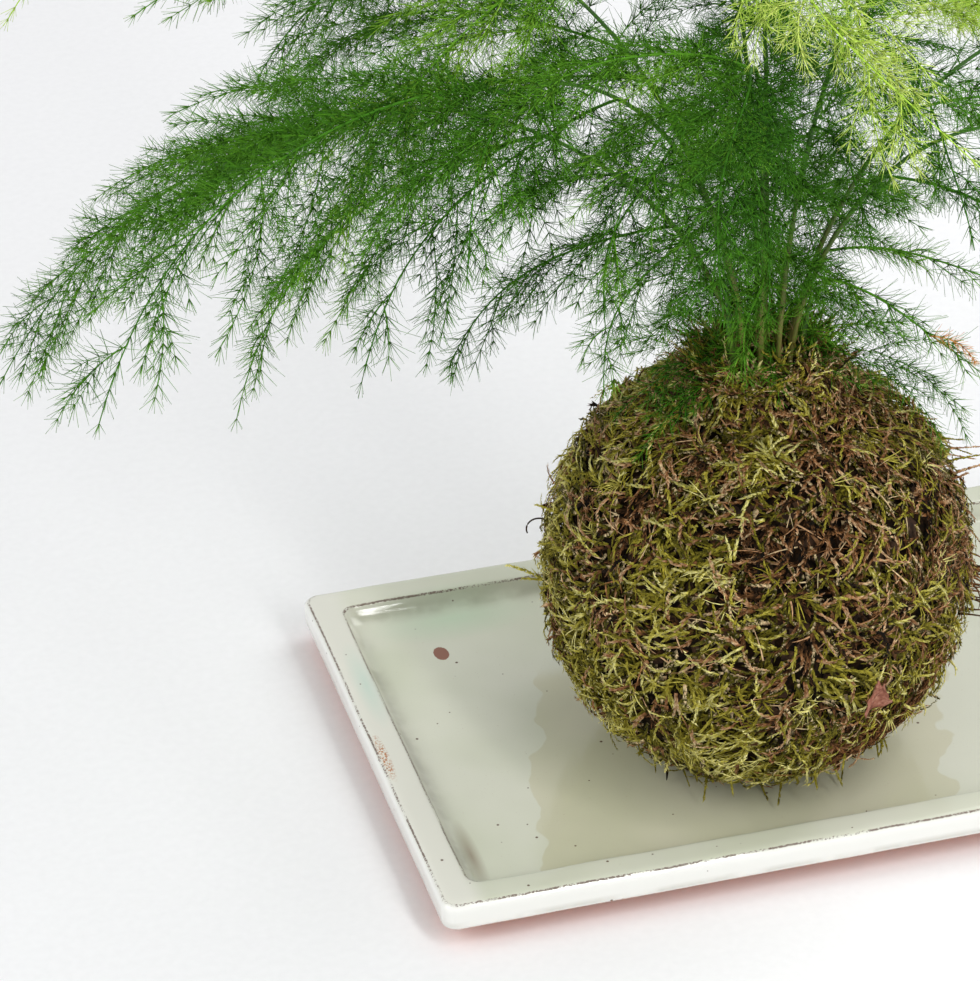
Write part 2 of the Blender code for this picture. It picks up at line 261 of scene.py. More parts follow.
def add_piece(name, solid, material, slot, stands_for=(), **measures):
    """Makes one object of the plant or the tray, hangs it on the body, and hides the CAD nodes that it replaces."""
    points, triangles, tones = solid
    mesh = bpy.data.meshes.new(name)
    mesh.vertices.add(len(points))
    mesh.vertices.foreach_set("co", np.ascontiguousarray(points, dtype=np.float32).ravel())
    mesh.loops.add(triangles.size)
    mesh.loops.foreach_set("vertex_index", np.ascontiguousarray(triangles, dtype=np.int32).ravel())
    mesh.polygons.add(len(triangles))
    mesh.polygons.foreach_set("loop_start", np.arange(0, triangles.size, 3, dtype=np.int32))
    mesh.update(calc_edges=True)
    mesh.shade_smooth()
    for label, values in {"tone": tones, **measures}.items():
        attribute = mesh.attributes.new(label, "FLOAT", "POINT")
        attribute.data.foreach_set("value", np.ascontiguousarray(values, dtype=np.float32))
    mesh.materials.append(material)
    piece = bpy.data.objects.new(name, mesh)
    bpy.context.scene.collection.objects.link(piece)
    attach(piece, "root")
    if stands_for:
        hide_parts(*stands_for)
    triangle_count[name] = len(triangles)


# %% [markdown]
# ## Camera
#
# A product view from a little above. A wide lens close by would make the near end of the tray swell, so a long
# lens stands about 1.3 m away. It looks down by 33 degrees, from a little to the left of the tray's middle.

# %% Place the camera
CAMERA_AZIMUTH = -16.37
CAMERA_ELEVATION = 33.28
CAMERA_PLACE = (-0.3565, -0.9561, 0.7447)
LENS_MM, SENSOR_MM = 165.3, 36.0

camera_data = bpy.data.cameras.new("camera")
camera_data.lens, camera_data.sensor_width = LENS_MM, SENSOR_MM
camera = bpy.data.objects.new("camera", camera_data)
bpy.context.scene.collection.objects.link(camera)
bpy.context.scene.camera = camera
view_right = outward(CAMERA_AZIMUTH)
sight = Vector(aimed(CAMERA_AZIMUTH + 90, -CAMERA_ELEVATION))
camera.location = CAMERA_PLACE
camera.rotation_mode = "QUATERNION"
camera.rotation_quaternion = sight.to_track_quat("-Z", "Y")
print("camera looks along", [round(part, 3) for part in sight])

# %% [markdown]
# ## Floor
#
# The plant stands on a white table. The floor is one plain sheet of matt white card, whose fibres are 2.5 mm
# apart and hardly darker than the rest.

# %% Lay the floor
FLOOR_REACH = 4.0

card, tree, shader, where = new_material("white_table_card", Roughness=0.9)
fibre = add(tree, "TexNoise", {"Vector": where, "Scale": 1 / (2.5 * MM), "Detail": 3.0})
finish(shader, Base_Color=add(tree, "ValToRGB", {"Fac": fibre}, stops=((0.3, "EDEDED"), (0.7, "F0F0F0"))))

corners = [(x * FLOOR_REACH, y * FLOOR_REACH, 0.0) for x, y in ((-1, -1), (1, -1), (1, 1), (-1, 1))]
floor_mesh = bpy.data.meshes.new("white_table")
floor_mesh.from_pydata(corners, [], [(0, 1, 2, 3)])
floor_mesh.materials.append(card)
white_table = bpy.data.objects.new("white_table", floor_mesh)
bpy.context.scene.collection.objects.link(white_table)
print("table:", 2 * FLOOR_REACH, "m square")

# %% [markdown]
# ## Light
#
# The room is white too, so the shadows are soft and pale. A sun lamp would draw them hard, so area lamps stand in
# for a studio's soft boxes. A bright even sky gives most of the light, a large box high on the right gives the
# shadow its direction, one on the left fills it, and a strip over the front draws the white line that wet glaze
# shows along a hollow.

# %% Hang the lights
SKY_STRENGTH = 0.62
world = bpy.data.worlds.new("white_room")
world.use_nodes = True
world.node_tree.nodes["Background"].inputs["Color"].default_value = linear("FBFCFF")
world.node_tree.nodes["Background"].inputs["Strength"].default_value = SKY_STRENGTH
bpy.context.scene.world = world
bpy.context.scene.view_settings.view_transform = "Standard"

# Each row: name, place, width and depth in metres, power in watts, and the point that it faces.
for name, place, width, depth, watts, aim in (
        ("key_soft_box", (0.98, 0.42, 1.15), 0.9, 0.9, 7.3, (0.0, 0.0, 0.06)),
        ("left_soft_box", (-1.20, -0.22, 0.95), 0.8, 0.8, 7.2, (0.0, 0.0, 0.06)),
        ("strip_box", (0.19, -0.72, 0.74), 0.08, 1.0, 5.6, (0.19, 0.068, 0.01))):
    lamp = bpy.data.lights.new(name, "AREA")
    lamp.shape, lamp.size, lamp.size_y, lamp.energy = "RECTANGLE", width, depth, watts
    box = bpy.data.objects.new(name, lamp)
    bpy.context.scene.collection.objects.link(box)
    box.location = place
    box.rotation_mode = "QUATERNION"
    box.rotation_quaternion = (Vector(aim) - Vector(place)).to_track_quat("-Z", "Y")
    print(name, "at", place, "-", width, "by", depth, "m,", watts, "W")

# %% [markdown]
# ## The tray: shape
#
# The tray is pressed stoneware. It has a flat rim about 10 mm wide, a shallow recess with a rounded fillet where
# clay was smoothed into the corner, and a smaller foot that lifts the rim off the table. It could be cut from
# blocks with booleans, but then each edge would be equally sharp. Here one profile is carried round a rounded
# rectangle instead, so that every edge has its own roundness.

# %% Draw the tray's profile
HALF_LENGTH, HALF_WIDTH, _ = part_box("drip_tray")[1]
CORNER = 4.0 * MM
LONG_STEPS, SHORT_STEPS, CORNER_STEPS = 60, 42, 9

# Each row, in mm: how far in from the tray's outer edge, and height. Then what the glaze does there, from 0 to 1:
# worn thin over an edge, pooled in a hollow, none at all where the clay is bare, and painted near white on the outer
# wall, as a painted reflection of the white table and the front light.
FOOT_ROWS = [(inset, height, 0, 0, 1, 0) for inset, height in (
    (66.0, 0.0), (30.0, 0.0), (15.0, 0.0), (14.3, 0.25), (14.0, 0.9), (14.0, 4.8), (13.5, 5.6), (12.6, 5.95),
    (7.0, 6.0), (2.4, 6.0), (1.5, 6.05))]
WALL_ROWS = [(0.85, 6.3, 0.9, 0, 0.5, 0), (0.45, 6.8, 0.5, 0, 0, 1), (0.3, 7.6, 0, 0.3, 0, 1), (0.2, 9.2, 0, 0, 0, 1),
             (0.12, 10.8, 0, 0, 0, 1), (0.1, 12.0, 0, 0, 0, 1), (0.15, 12.75, 0, 0, 0, 1), (0.35, 13.3, 0, 0, 0, 1)]
RIM_ROWS = [(0.65, 13.72, 0.3, 0, 0, 0.7), (0.95, 14.0, 1, 0, 0, 0.3), (1.25, 14.18, 0.75, 0, 0, 0),
            (1.6, 14.33, 0.1, 0, 0, 0), (2.3, 14.46, 0, 0, 0, 0), (3.2, 14.5, 0, 0, 0, 0), (4.8, 14.5, 0, 0, 0, 0),
            (6.6, 14.45, 0, 0, 0, 0), (8.0, 14.4, 0, 0, 0, 0), (8.6, 14.33, 0.2, 0, 0, 0)]
FILLET_ROWS = [(8.95, 14.18, 0.8, 0, 0, 0), (9.2, 13.95, 1, 0, 0, 0), (9.4, 13.6, 0.5, 0, 0, 0),
               (9.65, 13.0, 0, 0.05, 0, 0), (10.0, 12.3, 0, 0.15, 0, 0), (10.5, 11.6, 0, 0.3, 0, 0),
               (11.2, 10.9, 0, 0.4, 0, 0), (12.1, 10.3, 0, 0.35, 0, 0), (13.2, 9.86, 0, 0.2, 0, 0),
               (14.5, 9.62, 0, 0.1, 0, 0), (16.0, 9.52, 0, 0, 0, 0)]
FLOOR_ROWS = [(inset, 9.5, 0, 0, 0, 0) for inset in (19, 24, 30, 37, 45, 54, 62, 70)]
TRAY_PROFILE = FOOT_ROWS + WALL_ROWS + RIM_ROWS + FILLET_ROWS + FLOOR_ROWS


def rounded_rectangle(inset):
    """Points and outward directions round the tray's outline, drawn in by inset."""
    centres = (np.array((HALF_LENGTH, HALF_WIDTH)) - inset - CORNER) * ((1, -1), (1, 1), (-1, 1), (-1, -1))
    points, facings = [], []
    for quarter, side_steps in enumerate((SHORT_STEPS, LONG_STEPS) * 2):
        angles = (quarter - 1 + np.linspace(0, 1, CORNER_STEPS + 1)) * math.pi / 2
        arc = np.column_stack([np.cos(angles), np.sin(angles)])
        corner = centres[quarter] + arc * CORNER
        side = centres[(quarter + 1) % 4] - centres[quarter]
        points += [corner, corner[-1] + side * np.arange(1, side_steps)[:, None] / side_steps]
        facings += [arc, np.tile(arc[-1], (side_steps - 1, 1))]
    return np.vstack(points), np.vstack(facings)


print("profile:", len(TRAY_PROFILE), "points, outline:", len(rounded_rectangle(0)[0]))

# %% [markdown]
# ## The tray: sweep and warp
#
# Clay sags between its corners as it is fired, and a hand leaves its edges a little uneven. So each ring of the
# sweep dips along the middle of the rim and wanders by a fraction of a millimetre, while the foot stays flat.

# %% Sweep the tray's profile
RIM_SAG = 0.55 * MM
EDGE_WOBBLE, EDGE_SWELL = 0.22 * MM, 34 * MM
HEIGHT_WOBBLE, HEIGHT_SWELL = 0.10 * MM, 26 * MM
FIRM_BELOW, FREE_ABOVE = 5.0, 10.0
RECESS_FROM, CALM_REACH = 14, 25

rings, glaze_states = [], []
for inset, height, *states in TRAY_PROFILE:
    outline, facing = rounded_rectangle(inset * MM)
    ring = np.column_stack([outline, np.full(len(outline), height * MM)])
    free = np.clip((height - FIRM_BELOW) / (FREE_ABOVE - FIRM_BELOW), 0, 1)
    free *= np.clip(1 - (inset - RECESS_FROM) / CALM_REACH, 0, 1)
    if inset < RECESS_FROM:
        dip = 1 - np.minimum(1, np.maximum((ring[:, 0] / HALF_LENGTH) ** 2, (ring[:, 1] / HALF_WIDTH) ** 2))
        ring[:, 2] -= RIM_SAG * free * dip
    wobble = ripple(ring * (1, 1, 0.3), EDGE_SWELL, 3) * EDGE_WOBBLE * free
    ring[:, :2] -= facing * np.abs(wobble)[:, None]
    ring[:, 2] += (ripple(ring, HEIGHT_SWELL, 4) - 1) * HEIGHT_WOBBLE * free
    rings.append(ring)
    glaze_states.append(np.tile(states, (len(ring), 1)))
tray_points, tray_triangles = turned(rings)
glaze_states = np.vstack([*glaze_states, FOOT_ROWS[0][2:], FLOOR_ROWS[0][2:]])
print("tray:", len(rings), "rings, size in mm:", np.round(np.ptp(tray_points, axis=0) / MM, 1))

# %% [markdown]
# ## The tray: celadon glaze
#
# Celadon is a clear grey-green glaze over stoneware. It is as smooth as glass, so it has glass's IOR of about
# 1.5, a low roughness, and the faint waviness of a liquid that set. It is never one colour: it clouds over a few
# centimetres, copper in the kiln leaves breaths of turquoise and green, and where it pooled in a hollow it is
# deeper and browner, in runs about 14 mm long. The outer wall is painted near white, a painted reflection of the
# white table and the front light, and the left rim is painted paler, a painted highlight where light grazes it.

# %% Mix the glaze
glaze, tree, shader, where = new_material("celadon_glaze", IOR=1.5)
x_place = add(tree, "SeparateXYZ", {"Vector": where})
y_place, z_place = x_place.node.outputs["Y"], x_place.node.outputs["Z"]
STATES = ("worn", "pooled", "bare", "wall")
worn, pooled, bare, wall = [add(tree, "Attribute", out="Fac", attribute_name=state) for state in STATES]


def patch(where, centre, reach):
    """A soft oval seen from above: 1 at its centre and 0 at its reach along x and y."""
    place = {"Location": (-centre[0] / reach[0], -centre[1] / reach[1], 0.0),
             "Scale": (1 / reach[0], 1 / reach[1], 0.0)}
    return add(where.id_data, "TexGradient", {"Vector": add(where.id_data, "Mapping", {"Vector": where, **place})},
               out="Fac", gradient_type="SPHERICAL")


cloud = add(tree, "TexNoise", {"Vector": where, "Scale": 1 / (38 * MM), "Detail": 2.0})
grain = add(tree, "TexNoise", {"Vector": where, "Scale": 1 / (0.55 * MM), "Detail": 3.0, "Roughness": 0.65})
runs = add(tree, "TexNoise", {"Vector": where, "Scale": 1 / (14 * MM), "Detail": 3.0})
runs = add(tree, "MapRange", {"Value": runs, 1: 0.38, 2: 0.60}, **EASED)
# Painted highlight: the left rim is painted paler where light grazes it.
painted_left_rim_highlight = add(tree, "MapRange", {"Value": x_place, 1: -96 * MM, 2: -103 * MM}, **EASED)

# The left rim is painted paler, a painted highlight where light grazes it. Then the blooms, each with its
# centre and reach in metres and its strength: turquoise half way along the left rim, green in the back corner,
# and a brown streak.
tints = [(painted_left_rim_highlight, "DDDCD0")]
for centre, reach, strength, tint in (((-0.1035, 0.027), (0.004, 0.022), 0.55, "B4D2C4"),
                                      ((-0.070, 0.058), (0.026, 0.011), 0.50, "A9CDA9"),
                                      ((-0.0952, -0.049), (0.0028, 0.017), 0.8, "8F806A")):
    tints.append((add(tree, "Math", {0: patch(where, centre, reach), 1: strength}, **TIMES), tint))
# The outer wall is painted near white, a painted reflection of the white table and the front light.
tints += [(wall, "EBEBE5"), (add(tree, "Math", {0: pooled, 1: runs}, **TIMES), "878671")]
colour = add(tree, "ValToRGB", {"Fac": cloud}, stops=((0.35, "CACDB8"), (0.65, "D5D6C5")))
for share, tint in tints:
    colour = add(tree, "Mix", {0: share, 6: colour, 7: tint}, **LAYERED)
print("glaze:", len(tints), "tints over the ground colour")

# %% [markdown]
# ## The tray: water on the glaze
#
# Water that ran out of the ball lies on the recess floor in a band about 116 mm wide with wandering edges. It
# darkens the glaze a little, as a second clear layer does, and it makes it smoother.

# %% Wet the floor
BAND_SLANT, BAND_WANDER = -0.335, 22 * MM
WATER_TOP, WATER_LEVEL = 11.8 * MM, 10.2 * MM

wander = add(tree, "TexNoise", {"Vector": where, "Scale": 1 / (15 * MM), "Detail": 2.0, "Roughness": 0.45})
band = add(tree, "Math", {0: y_place, 1: BAND_SLANT, 2: x_place}, **TIMES_PLUS)
band = add(tree, "Math", {0: wander, 1: BAND_WANDER, 2: band}, **TIMES_PLUS)
glazed = add(tree, "Math", {0: 1.0, 1: add(tree, "Math", {0: wall, 1: bare})}, operation="SUBTRACT", use_clamp=True)
on_floor = add(tree, "MapRange", {"Value": z_place, 1: WATER_TOP, 2: WATER_LEVEL}, **EASED)
on_floor = add(tree, "Math", {0: on_floor, 1: glazed}, **TIMES)
wet = on_floor
# Each edge of the band, in mm: where it is still dry, and where it is fully wet.
WET_EDGES = ((band, -50.4, -49.6), (band, 67.6, 66.8), (y_place, 28, 20))
for place, dry_at, wet_at in WET_EDGES:
    edge = add(tree, "MapRange", {"Value": place, 1: dry_at * MM, 2: wet_at * MM}, **EASED)
    wet = add(tree, "Math", {0: wet, 1: edge}, **TIMES)
colour = add(tree, "Mix", {0: wet, 6: colour, 7: "F5F1E6"}, blend_type="MULTIPLY", **LAYERED)
print("wet band:", round(WET_EDGES[1][2] - WET_EDGES[0][2]), "mm wide")

# %% [markdown]
# ## The tray: iron, worn edges and bare clay
#
# The rest comes from the firing. Iron in the clay burns through as specks up to 0.8 mm across. Where the glaze ran
# off an edge it is thin, and the iron shows as a dark crumbling line. One spot of about 4 by 6 mm was never glazed,
# nor was the foot, so the clay is terracotta there, and rough.

# %% Speck and wear the glaze
# Specks of two sizes: how far apart they are in mm, how far one reaches as a share of that, and the share left out.
marks = []
for pitch, reach, share in ((9.0, 0.055, 0.30), (4.5, 0.065, 0.50)):
    cells = add(tree, "TexVoronoi", {"Vector": where, "Scale": 1 / (pitch * MM)}, feature="F1")
    speck = add(tree, "MapRange", {"Value": cells, 1: reach, 2: reach * 0.6}, **EASED)
    chosen = add(tree, "SeparateColor", {"Color": cells.node.outputs["Color"]})
    chosen = add(tree, "Math", {0: chosen, 1: share}, operation="GREATER_THAN")
    marks.append((add(tree, "Math", {0: speck, 1: chosen}, **TIMES), "6A594A"))

crumble = add(tree, "Math", {0: runs, 1: 0.22, 2: grain}, **TIMES_PLUS)
crumble = add(tree, "MapRange", {"Value": crumble, 1: 0.48, 2: 0.68}, **EASED)
edge = add(tree, "Math", {0: grain, 1: 1.2, 2: worn}, **TIMES_PLUS)
edge = add(tree, "MapRange", {"Value": edge, 1: 1.15, 2: 1.45}, **EASED)
break_line = add(tree, "Math", {0: crumble, 1: edge}, **TIMES)

# A rusty smear on the left wall, the bare spot on the floor, and the bare foot.
rust = add(tree, "MapRange", {"Value": patch(where, (-0.1075, -0.007), (0.0017, 0.012)), 1: 0.0, 2: 0.5})
rust = add(tree, "Math", {0: rust, 1: add(tree, "MapRange", {"Value": grain, 1: 0.50, 2: 0.54})}, **TIMES)
spot = add(tree, "Math", {0: grain, 1: 0.25, 2: patch(where, (-0.0776, 0.0421), (0.0023, 0.0034))}, **TIMES_PLUS)
spot = add(tree, "MapRange", {"Value": spot, 1: 0.16, 2: 0.22}, **EASED)
spot = add(tree, "Math", {0: spot, 1: on_floor}, **TIMES)
terracotta = add(tree, "ValToRGB", {"Fac": grain}, stops=((0.3, "D27850"), (0.7, "DF8F68")))
clay = add(tree, "Math", {0: grain, 1: 0.3, 2: bare}, **TIMES_PLUS)
clay = add(tree, "MapRange", {"Value": clay, 1: 0.5, 2: 0.75}, **EASED)

marks += [(rust, "B67C50"), (add(tree, "Math", {0: break_line, 1: 0.9}, **TIMES), "6A564C"), (spot, "8E6353"),
          (clay, terracotta)]
for share, tint in marks:
    colour = add(tree, "Mix", {0: share, 6: colour, 7: tint}, **LAYERED)
print("marks on the glaze:", len(marks))

# %% [markdown]
# ## The tray: gloss
#
# The glaze is as smooth as glass, smoother still where it is wet, and rough where clay shows. Its surface
# undulates over about 7 mm, and the worn edges are gritty.

# %% Set the gloss and make the tray
rough = add(tree, "Math", {0: spot, 1: bare}, operation="MAXIMUM")
rough = add(tree, "Math", {0: rough, 1: break_line}, operation="MAXIMUM")
rough = add(tree, "MapRange", {"Value": rough, "To Min": 0.11, "To Max": 0.75})
rough = add(tree, "Math", {0: wet, 1: -0.04, 2: rough}, **TIMES_PLUS)
waves = add(tree, "TexNoise", {"Vector": where, "Scale": 1 / (7 * MM), "Detail": 1.0})
crumbs = add(tree, "Math", {0: grain, 1: worn}, **TIMES)
relief = add(tree, "Math", {0: crumbs, 1: 0.5, 2: waves}, **TIMES_PLUS)
finish(shader, Base_Color=colour, Roughness=rough,
       Normal=add(tree, "Bump", {"Height": relief, "Strength": 0.22, "Distance": 0.25 * MM}))

add_piece("celadon_tray", (tray_points, tray_triangles, np.zeros(len(tray_points))), glaze, "celadon_glaze",
          ["drip_tray"], **dict(zip(STATES, glaze_states.T)))
print("tray:", triangle_count["celadon_tray"], "triangles,", len(tree.nodes), "nodes in its glaze")

# %% [markdown]
# ## The moss ball: its skin
#
# The ball is a little boxy, flat where it stands, and drawn up into a low neck round the canes. Every strand of
# moss lies along that skin, so the skin is written once, as a function: a direction from the ball's middle goes
# in, and the point on the skin and the skin's own directions come out.

# %% Describe the skin
BALL_LOW, BALL_HIGH = np.array(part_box("moss_cover"))
BALL_RADIUS = (BALL_HIGH[0] - BALL_LOW[0]) / 2
BALL_HALF_HEIGHT = 56.5 * MM
BALL_SAG = 1.0 * MM
BALL_POWER = 2.3
BALL_FOOT = (BALL_LOW + BALL_HIGH) / 2 * (1, 1, 0)
BALL_MIDDLE = BALL_FOOT + UP * (BALL_LOW[2] + BALL_HALF_HEIGHT - BALL_SAG)
NECK_TOP = BALL_HIGH[2]
NECK_FOOT, NECK_LIP, NECK_HOLE = 25.0 * MM, 16.5 * MM, 12.0 * MM
NECK_WELL = 5.5 * MM


def skin(directions, inset=0.0):
    """Where each direction from the ball's middle meets its skin."""
    flat = np.hypot(directions[..., 0], directions[..., 1])
    stretch = (flat ** BALL_POWER + np.abs(directions[..., 2]) ** BALL_POWER) ** (-1 / BALL_POWER)
    points = directions * (stretch * (BALL_RADIUS - inset))[..., None]
    points[..., 2] *= BALL_HALF_HEIGHT / BALL_RADIUS
    points = points + BALL_MIDDLE
    reach, on_top = flat * stretch * BALL_RADIUS, directions[..., 2] > 0
    climb = np.clip((NECK_FOOT - reach) / (NECK_FOOT - NECK_LIP), 0, 1) * on_top
    climb = climb * climb * (3 - 2 * climb)
    well = np.clip((NECK_LIP - reach) / (NECK_LIP - NECK_HOLE), 0, 1) * on_top
    points[..., 2] += climb * (NECK_TOP - inset - well * NECK_WELL - points[..., 2])
    points[..., 2] = np.maximum(points[..., 2], BALL_LOW[2] + inset * 0.3)
    return points


def skin_frame(directions):
    """The skin point for each direction, with the ways round it, down it and out of it."""
    east, north = frame_of(directions)
    north = np.where(north[..., 2:] < 0, -north, north)
    point = skin(directions)
    round_way = unit(skin(unit(directions + east * 0.01)) - point)
    up_way = unit(skin(unit(directions + north * 0.01)) - point)
    out = unit(np.cross(round_way, up_way))
    out = out * np.sign((out * directions).sum(-1, keepdims=True))
    return point, round_way, -up_way, out


print("ball middle, mm:", np.round(BALL_MIDDLE / MM, 1), "radius", round(BALL_RADIUS / MM, 1))

# %% [markdown]
# ## The moss ball: dried sheet moss
#
# Sheet moss is peeled off logs and dried, so one piece holds living olive green, khaki, straw and dead brown. It
# is matt, because each leaf is a rough scrap 1 to 2 mm long. The colour of each strand comes from its tone,
# with browns below the middle and greens above it, and a fine noise at the size of a single leaf breaks it up.

# %% Mix the moss
MOSS_TONES = ((0.00, "0E0903"), (0.12, "402810"), (0.24, "98683E"), (0.34, "CCA278"), (0.43, "E8D0A0"),
              (0.50, "34340A"), (0.62, "70681A"), (0.76, "A49830"), (0.88, "C8BE56"), (1.00, "ECE498"))


def toned(tree, shift, stops):
    """A colour ramp read at each point's tone, moved by a shift."""
    tone = add(tree, "Attribute", out="Fac", attribute_name="tone")
    return add(tree, "ValToRGB", {"Fac": add(tree, "Math", {0: tone, 1: shift})}, stops=stops)


moss, tree, shader, where = new_material("dried_sheet_moss", Roughness=0.8, Specular_IOR_Level=0.15)
leaf_noise = add(tree, "TexNoise", {"Vector": where, "Scale": 1 / (1.1 * MM), "Detail": 3.0})
colour = toned(tree, add(tree, "MapRange", {"Value": leaf_noise, "To Min": -0.05, "To Max": 0.05}), MOSS_TONES)
dim = add(tree, "MapRange", {"Value": leaf_noise, 1: 0.3, 2: 0.7, "To Min": 0.62, "To Max": 1.30})
finish(shader, Base_Color=add(tree, "VectorMath", {0: colour, 3: dim}, operation="SCALE"),
       Normal=add(tree, "Bump", {"Height": leaf_noise, "Strength": 0.4, "Distance": 0.2 * MM}))
print("moss tones:", len(MOSS_TONES))

# %% [markdown]
# ## The moss ball: the mat underneath
#
# Under the strands the moss is felted into a mat that holds the soil in. It is painted nearly black, as painted
# shade for the deep gaps between the strands. It is a ball of small triangles laid 5 mm under the skin and lumped,
# so that no gap between the strands shows anything but moss.

# %% Felt the mat
MAT_INSET = 5.2 * MM
MAT_DETAIL = 6

ico = bmesh.new()
bmesh.ops.create_icosphere(ico, subdivisions=MAT_DETAIL, radius=1.0)
mat_directions = unit(np.array([vert.co[:] for vert in ico.verts]))
mat_triangles = np.array([[vert.index for vert in face.verts] for face in ico.faces])
ico.free()
skin_points, _, _, mat_out = skin_frame(mat_directions)
lumps = ripple(skin_points, 9 * MM, 21) * 0.8 + ripple(skin_points, 3.5 * MM, 22) * 0.7
mat_points = skin(mat_directions, MAT_INSET) + mat_out * (lumps * MM)[:, None]
mat_points[:, 2] = np.maximum(mat_points[:, 2], BALL_LOW[2])
# Painted shade: the mat is nearly black, the shade deep in the gaps between the strands.
mat_painted_shade_tones = np.clip(0.02 + 0.03 * ripple(mat_points, 3 * MM, 23), 0.0, 0.07)
add_piece("moss_mat_painted_shade", (mat_points, mat_triangles, mat_painted_shade_tones), moss, "sheet_moss", ["moss_cover"])
print("moss mat:", len(mat_triangles), "triangles")

# %% [markdown]
# ## The moss ball: where it is green and where it is dead
#
# The moss is greener on the damp left side and browner on the dry right, in patches one to two centimetres across.
# Each shoot is either alive or dead, so its tone jumps from the greens to the browns with nothing between.

# %% Map the dryness
# Each row: degrees round and degrees up, how far the patch reaches as a share of the radius, how much drier it is.
DRY_PATCHES = ((-95, 36, 0.30, 0.34), (-111, 8, 0.18, 0.30), (-150, 24, 0.16, 0.22), (-40, 15, 0.30, 0.14),
               (-125, 26, 0.20, -0.14), (-120, -25, 0.45, -0.10))


def dryness(directions, points):
    """How brown the moss is here, from 0 to 1."""
    dry = 0.27 + 0.08 * (directions @ view_right) + 0.10 * directions[:, 2]
    dry = dry + ripple(points, 24 * MM, 31) * 0.15 + ripple(points, 9 * MM, 32) * 0.16
    for azimuth_degrees, elevation_degrees, reach, more in DRY_PATCHES:
        off = np.linalg.norm(directions - aimed(azimuth_degrees, elevation_degrees), axis=-1)
        dry = dry + more * np.exp(-(off / reach) ** 2)
    return np.clip(dry, 0, 1)


def moss_tone(dry):
    """Greens above 0.5 and dead browns below it, with a jump between the two."""
    return np.clip(np.where(dry < 0.5, 1.0 - 0.92 * dry, 0.64 - 0.50 * dry), 0.10, 1.0)


mat_dryness = dryness(mat_directions, skin_points)
print("dead share of the ball:", round(float((mat_dryness > 0.5).mean()), 2))

# %% [markdown]
# ## The moss ball: one shoot
#
# Close to, the moss is a mass of plaited shoots, each about 8 mm long and 1.5 mm wide: small pointed leaves that
# overlap like the grains in an ear of wheat. A shoot starts just under the skin, arches along it, and lifts at its
# tip. Its path is worked out first, and then its leaves are set along that path in threes.

# %% Plait a shoot
LEAF_LENGTH = 1.75 * MM
LEAF_HALF_WIDTH = 0.50 * MM
LEAF_FLATNESS = 0.45
LEAF_SPREAD_DEGREES = 19
# Each leaf is painted darker at its foot, a painted shade where the leaves overlap, and lighter at its tip, a painted
# highlight.
LEAF_FOOT_PAINTED_SHADE, LEAF_TIP_PAINTED_HIGHLIGHT = 0.09, 0.11
SHOOT_STATIONS = 5


def curved_shoots(point, way, sideways, out, lengths, rise, lift, curl):
    """Paths that leave the skin, arch over it and follow its roundness down."""
    share = np.linspace(0, 1, SHOOT_STATIONS)[None, :, None]
    rise, lift, curl = (np.broadcast_to(values, len(point))[:, None, None] for values in (rise, lift, curl))
    reach = lengths[:, None, None] * share
    height = rise * np.sin(share * math.pi) + lift * share ** 2 - reach ** 2 / (2 * BALL_RADIUS)
    return point[:, None] + way[:, None] * reach + sideways[:, None] * (curl * reach * share) + out[:, None] * height


def along(values, owner, share):
    """Reads values part of the way along each owner's stations."""
    place = np.clip(share, 0, 1) * (values.shape[1] - 1)
    low = np.minimum(place.astype(int), values.shape[1] - 2)
    part = (place - low)[:, None]
    return values[owner, low] * (1 - part) + values[owner, low + 1] * part


def plaited(paths, out, tones, leaves, rng, size=1.0):
    """Chains of pointed leaves that overlap, to the left, to the right and upwards in turn."""
    owner = np.repeat(np.arange(len(paths)), leaves)
    order = np.tile(np.arange(leaves), len(paths))
    share = order / leaves
    base, facing = along(paths, owner, share), out[owner]
    heading = unit(along(unit(np.gradient(paths, axis=1)), owner, share))
    side = unit(np.cross(heading, facing)) * np.array((1.0, -1.0, 0.0))[order % 3][:, None]
    spread = np.radians(rng.normal(LEAF_SPREAD_DEGREES, 7, len(owner)))[:, None]
    raised = (rng.normal(0.06, 0.16, len(owner)) + 0.22 * (order % 3 == 2))[:, None]
    direction = unit(heading * np.cos(spread) + side * np.sin(spread) + facing * raised)
    taper = size * (1.1 - 0.4 * share)
    lengths = LEAF_LENGTH * taper * rng.uniform(0.75, 1.3, len(owner))
    # Along the shoot the tone rises towards its tip: young growth at the tip, and painted shade at its foot.
    leaf_tones = tones[owner] + rng.normal(0, 0.03, len(owner)) + 0.10 * (share - 0.6)
    return spikes(base, direction, lengths, LEAF_HALF_WIDTH * taper, leaf_tones - LEAF_FOOT_PAINTED_SHADE,
                  leaf_tones + LEAF_TIP_PAINTED_HIGHLIGHT, facing, LEAF_FLATNESS)


print("a moss leaf:", round(LEAF_LENGTH / MM, 2), "by", round(2 * LEAF_HALF_WIDTH / MM, 2), "mm")

# %% [markdown]
# ## The moss ball: seats for the shoots
#
# Seats are spread evenly over a sphere, by turning a fixed angle from each to the next, as seeds sit in a
# sunflower, and then moving each a little at random. The skin climbs steeply to the neck and has more area there,
# so each seat on that slope gets three more beside it.

# %% Find the seats
SUNFLOWER_TURN = math.pi * (3 - math.sqrt(5))
NECK_SLOPE, SLOPE_BAND = 0.92, 0.055


def scattered(count, seed, jitter=0.5):
    """Directions spread evenly over a sphere, each moved a little at random."""
    rng = np.random.default_rng(seed)
    step = np.arange(count) + 0.5
    height = 1 - 2 * step / count
    turn, flat = step * SUNFLOWER_TURN, np.sqrt(1 - height ** 2)
    even = np.stack([np.cos(turn) * flat, np.sin(turn) * flat, height], -1)
    return unit(even + rng.normal(0, jitter / math.sqrt(count) * 2, (count, 3)))


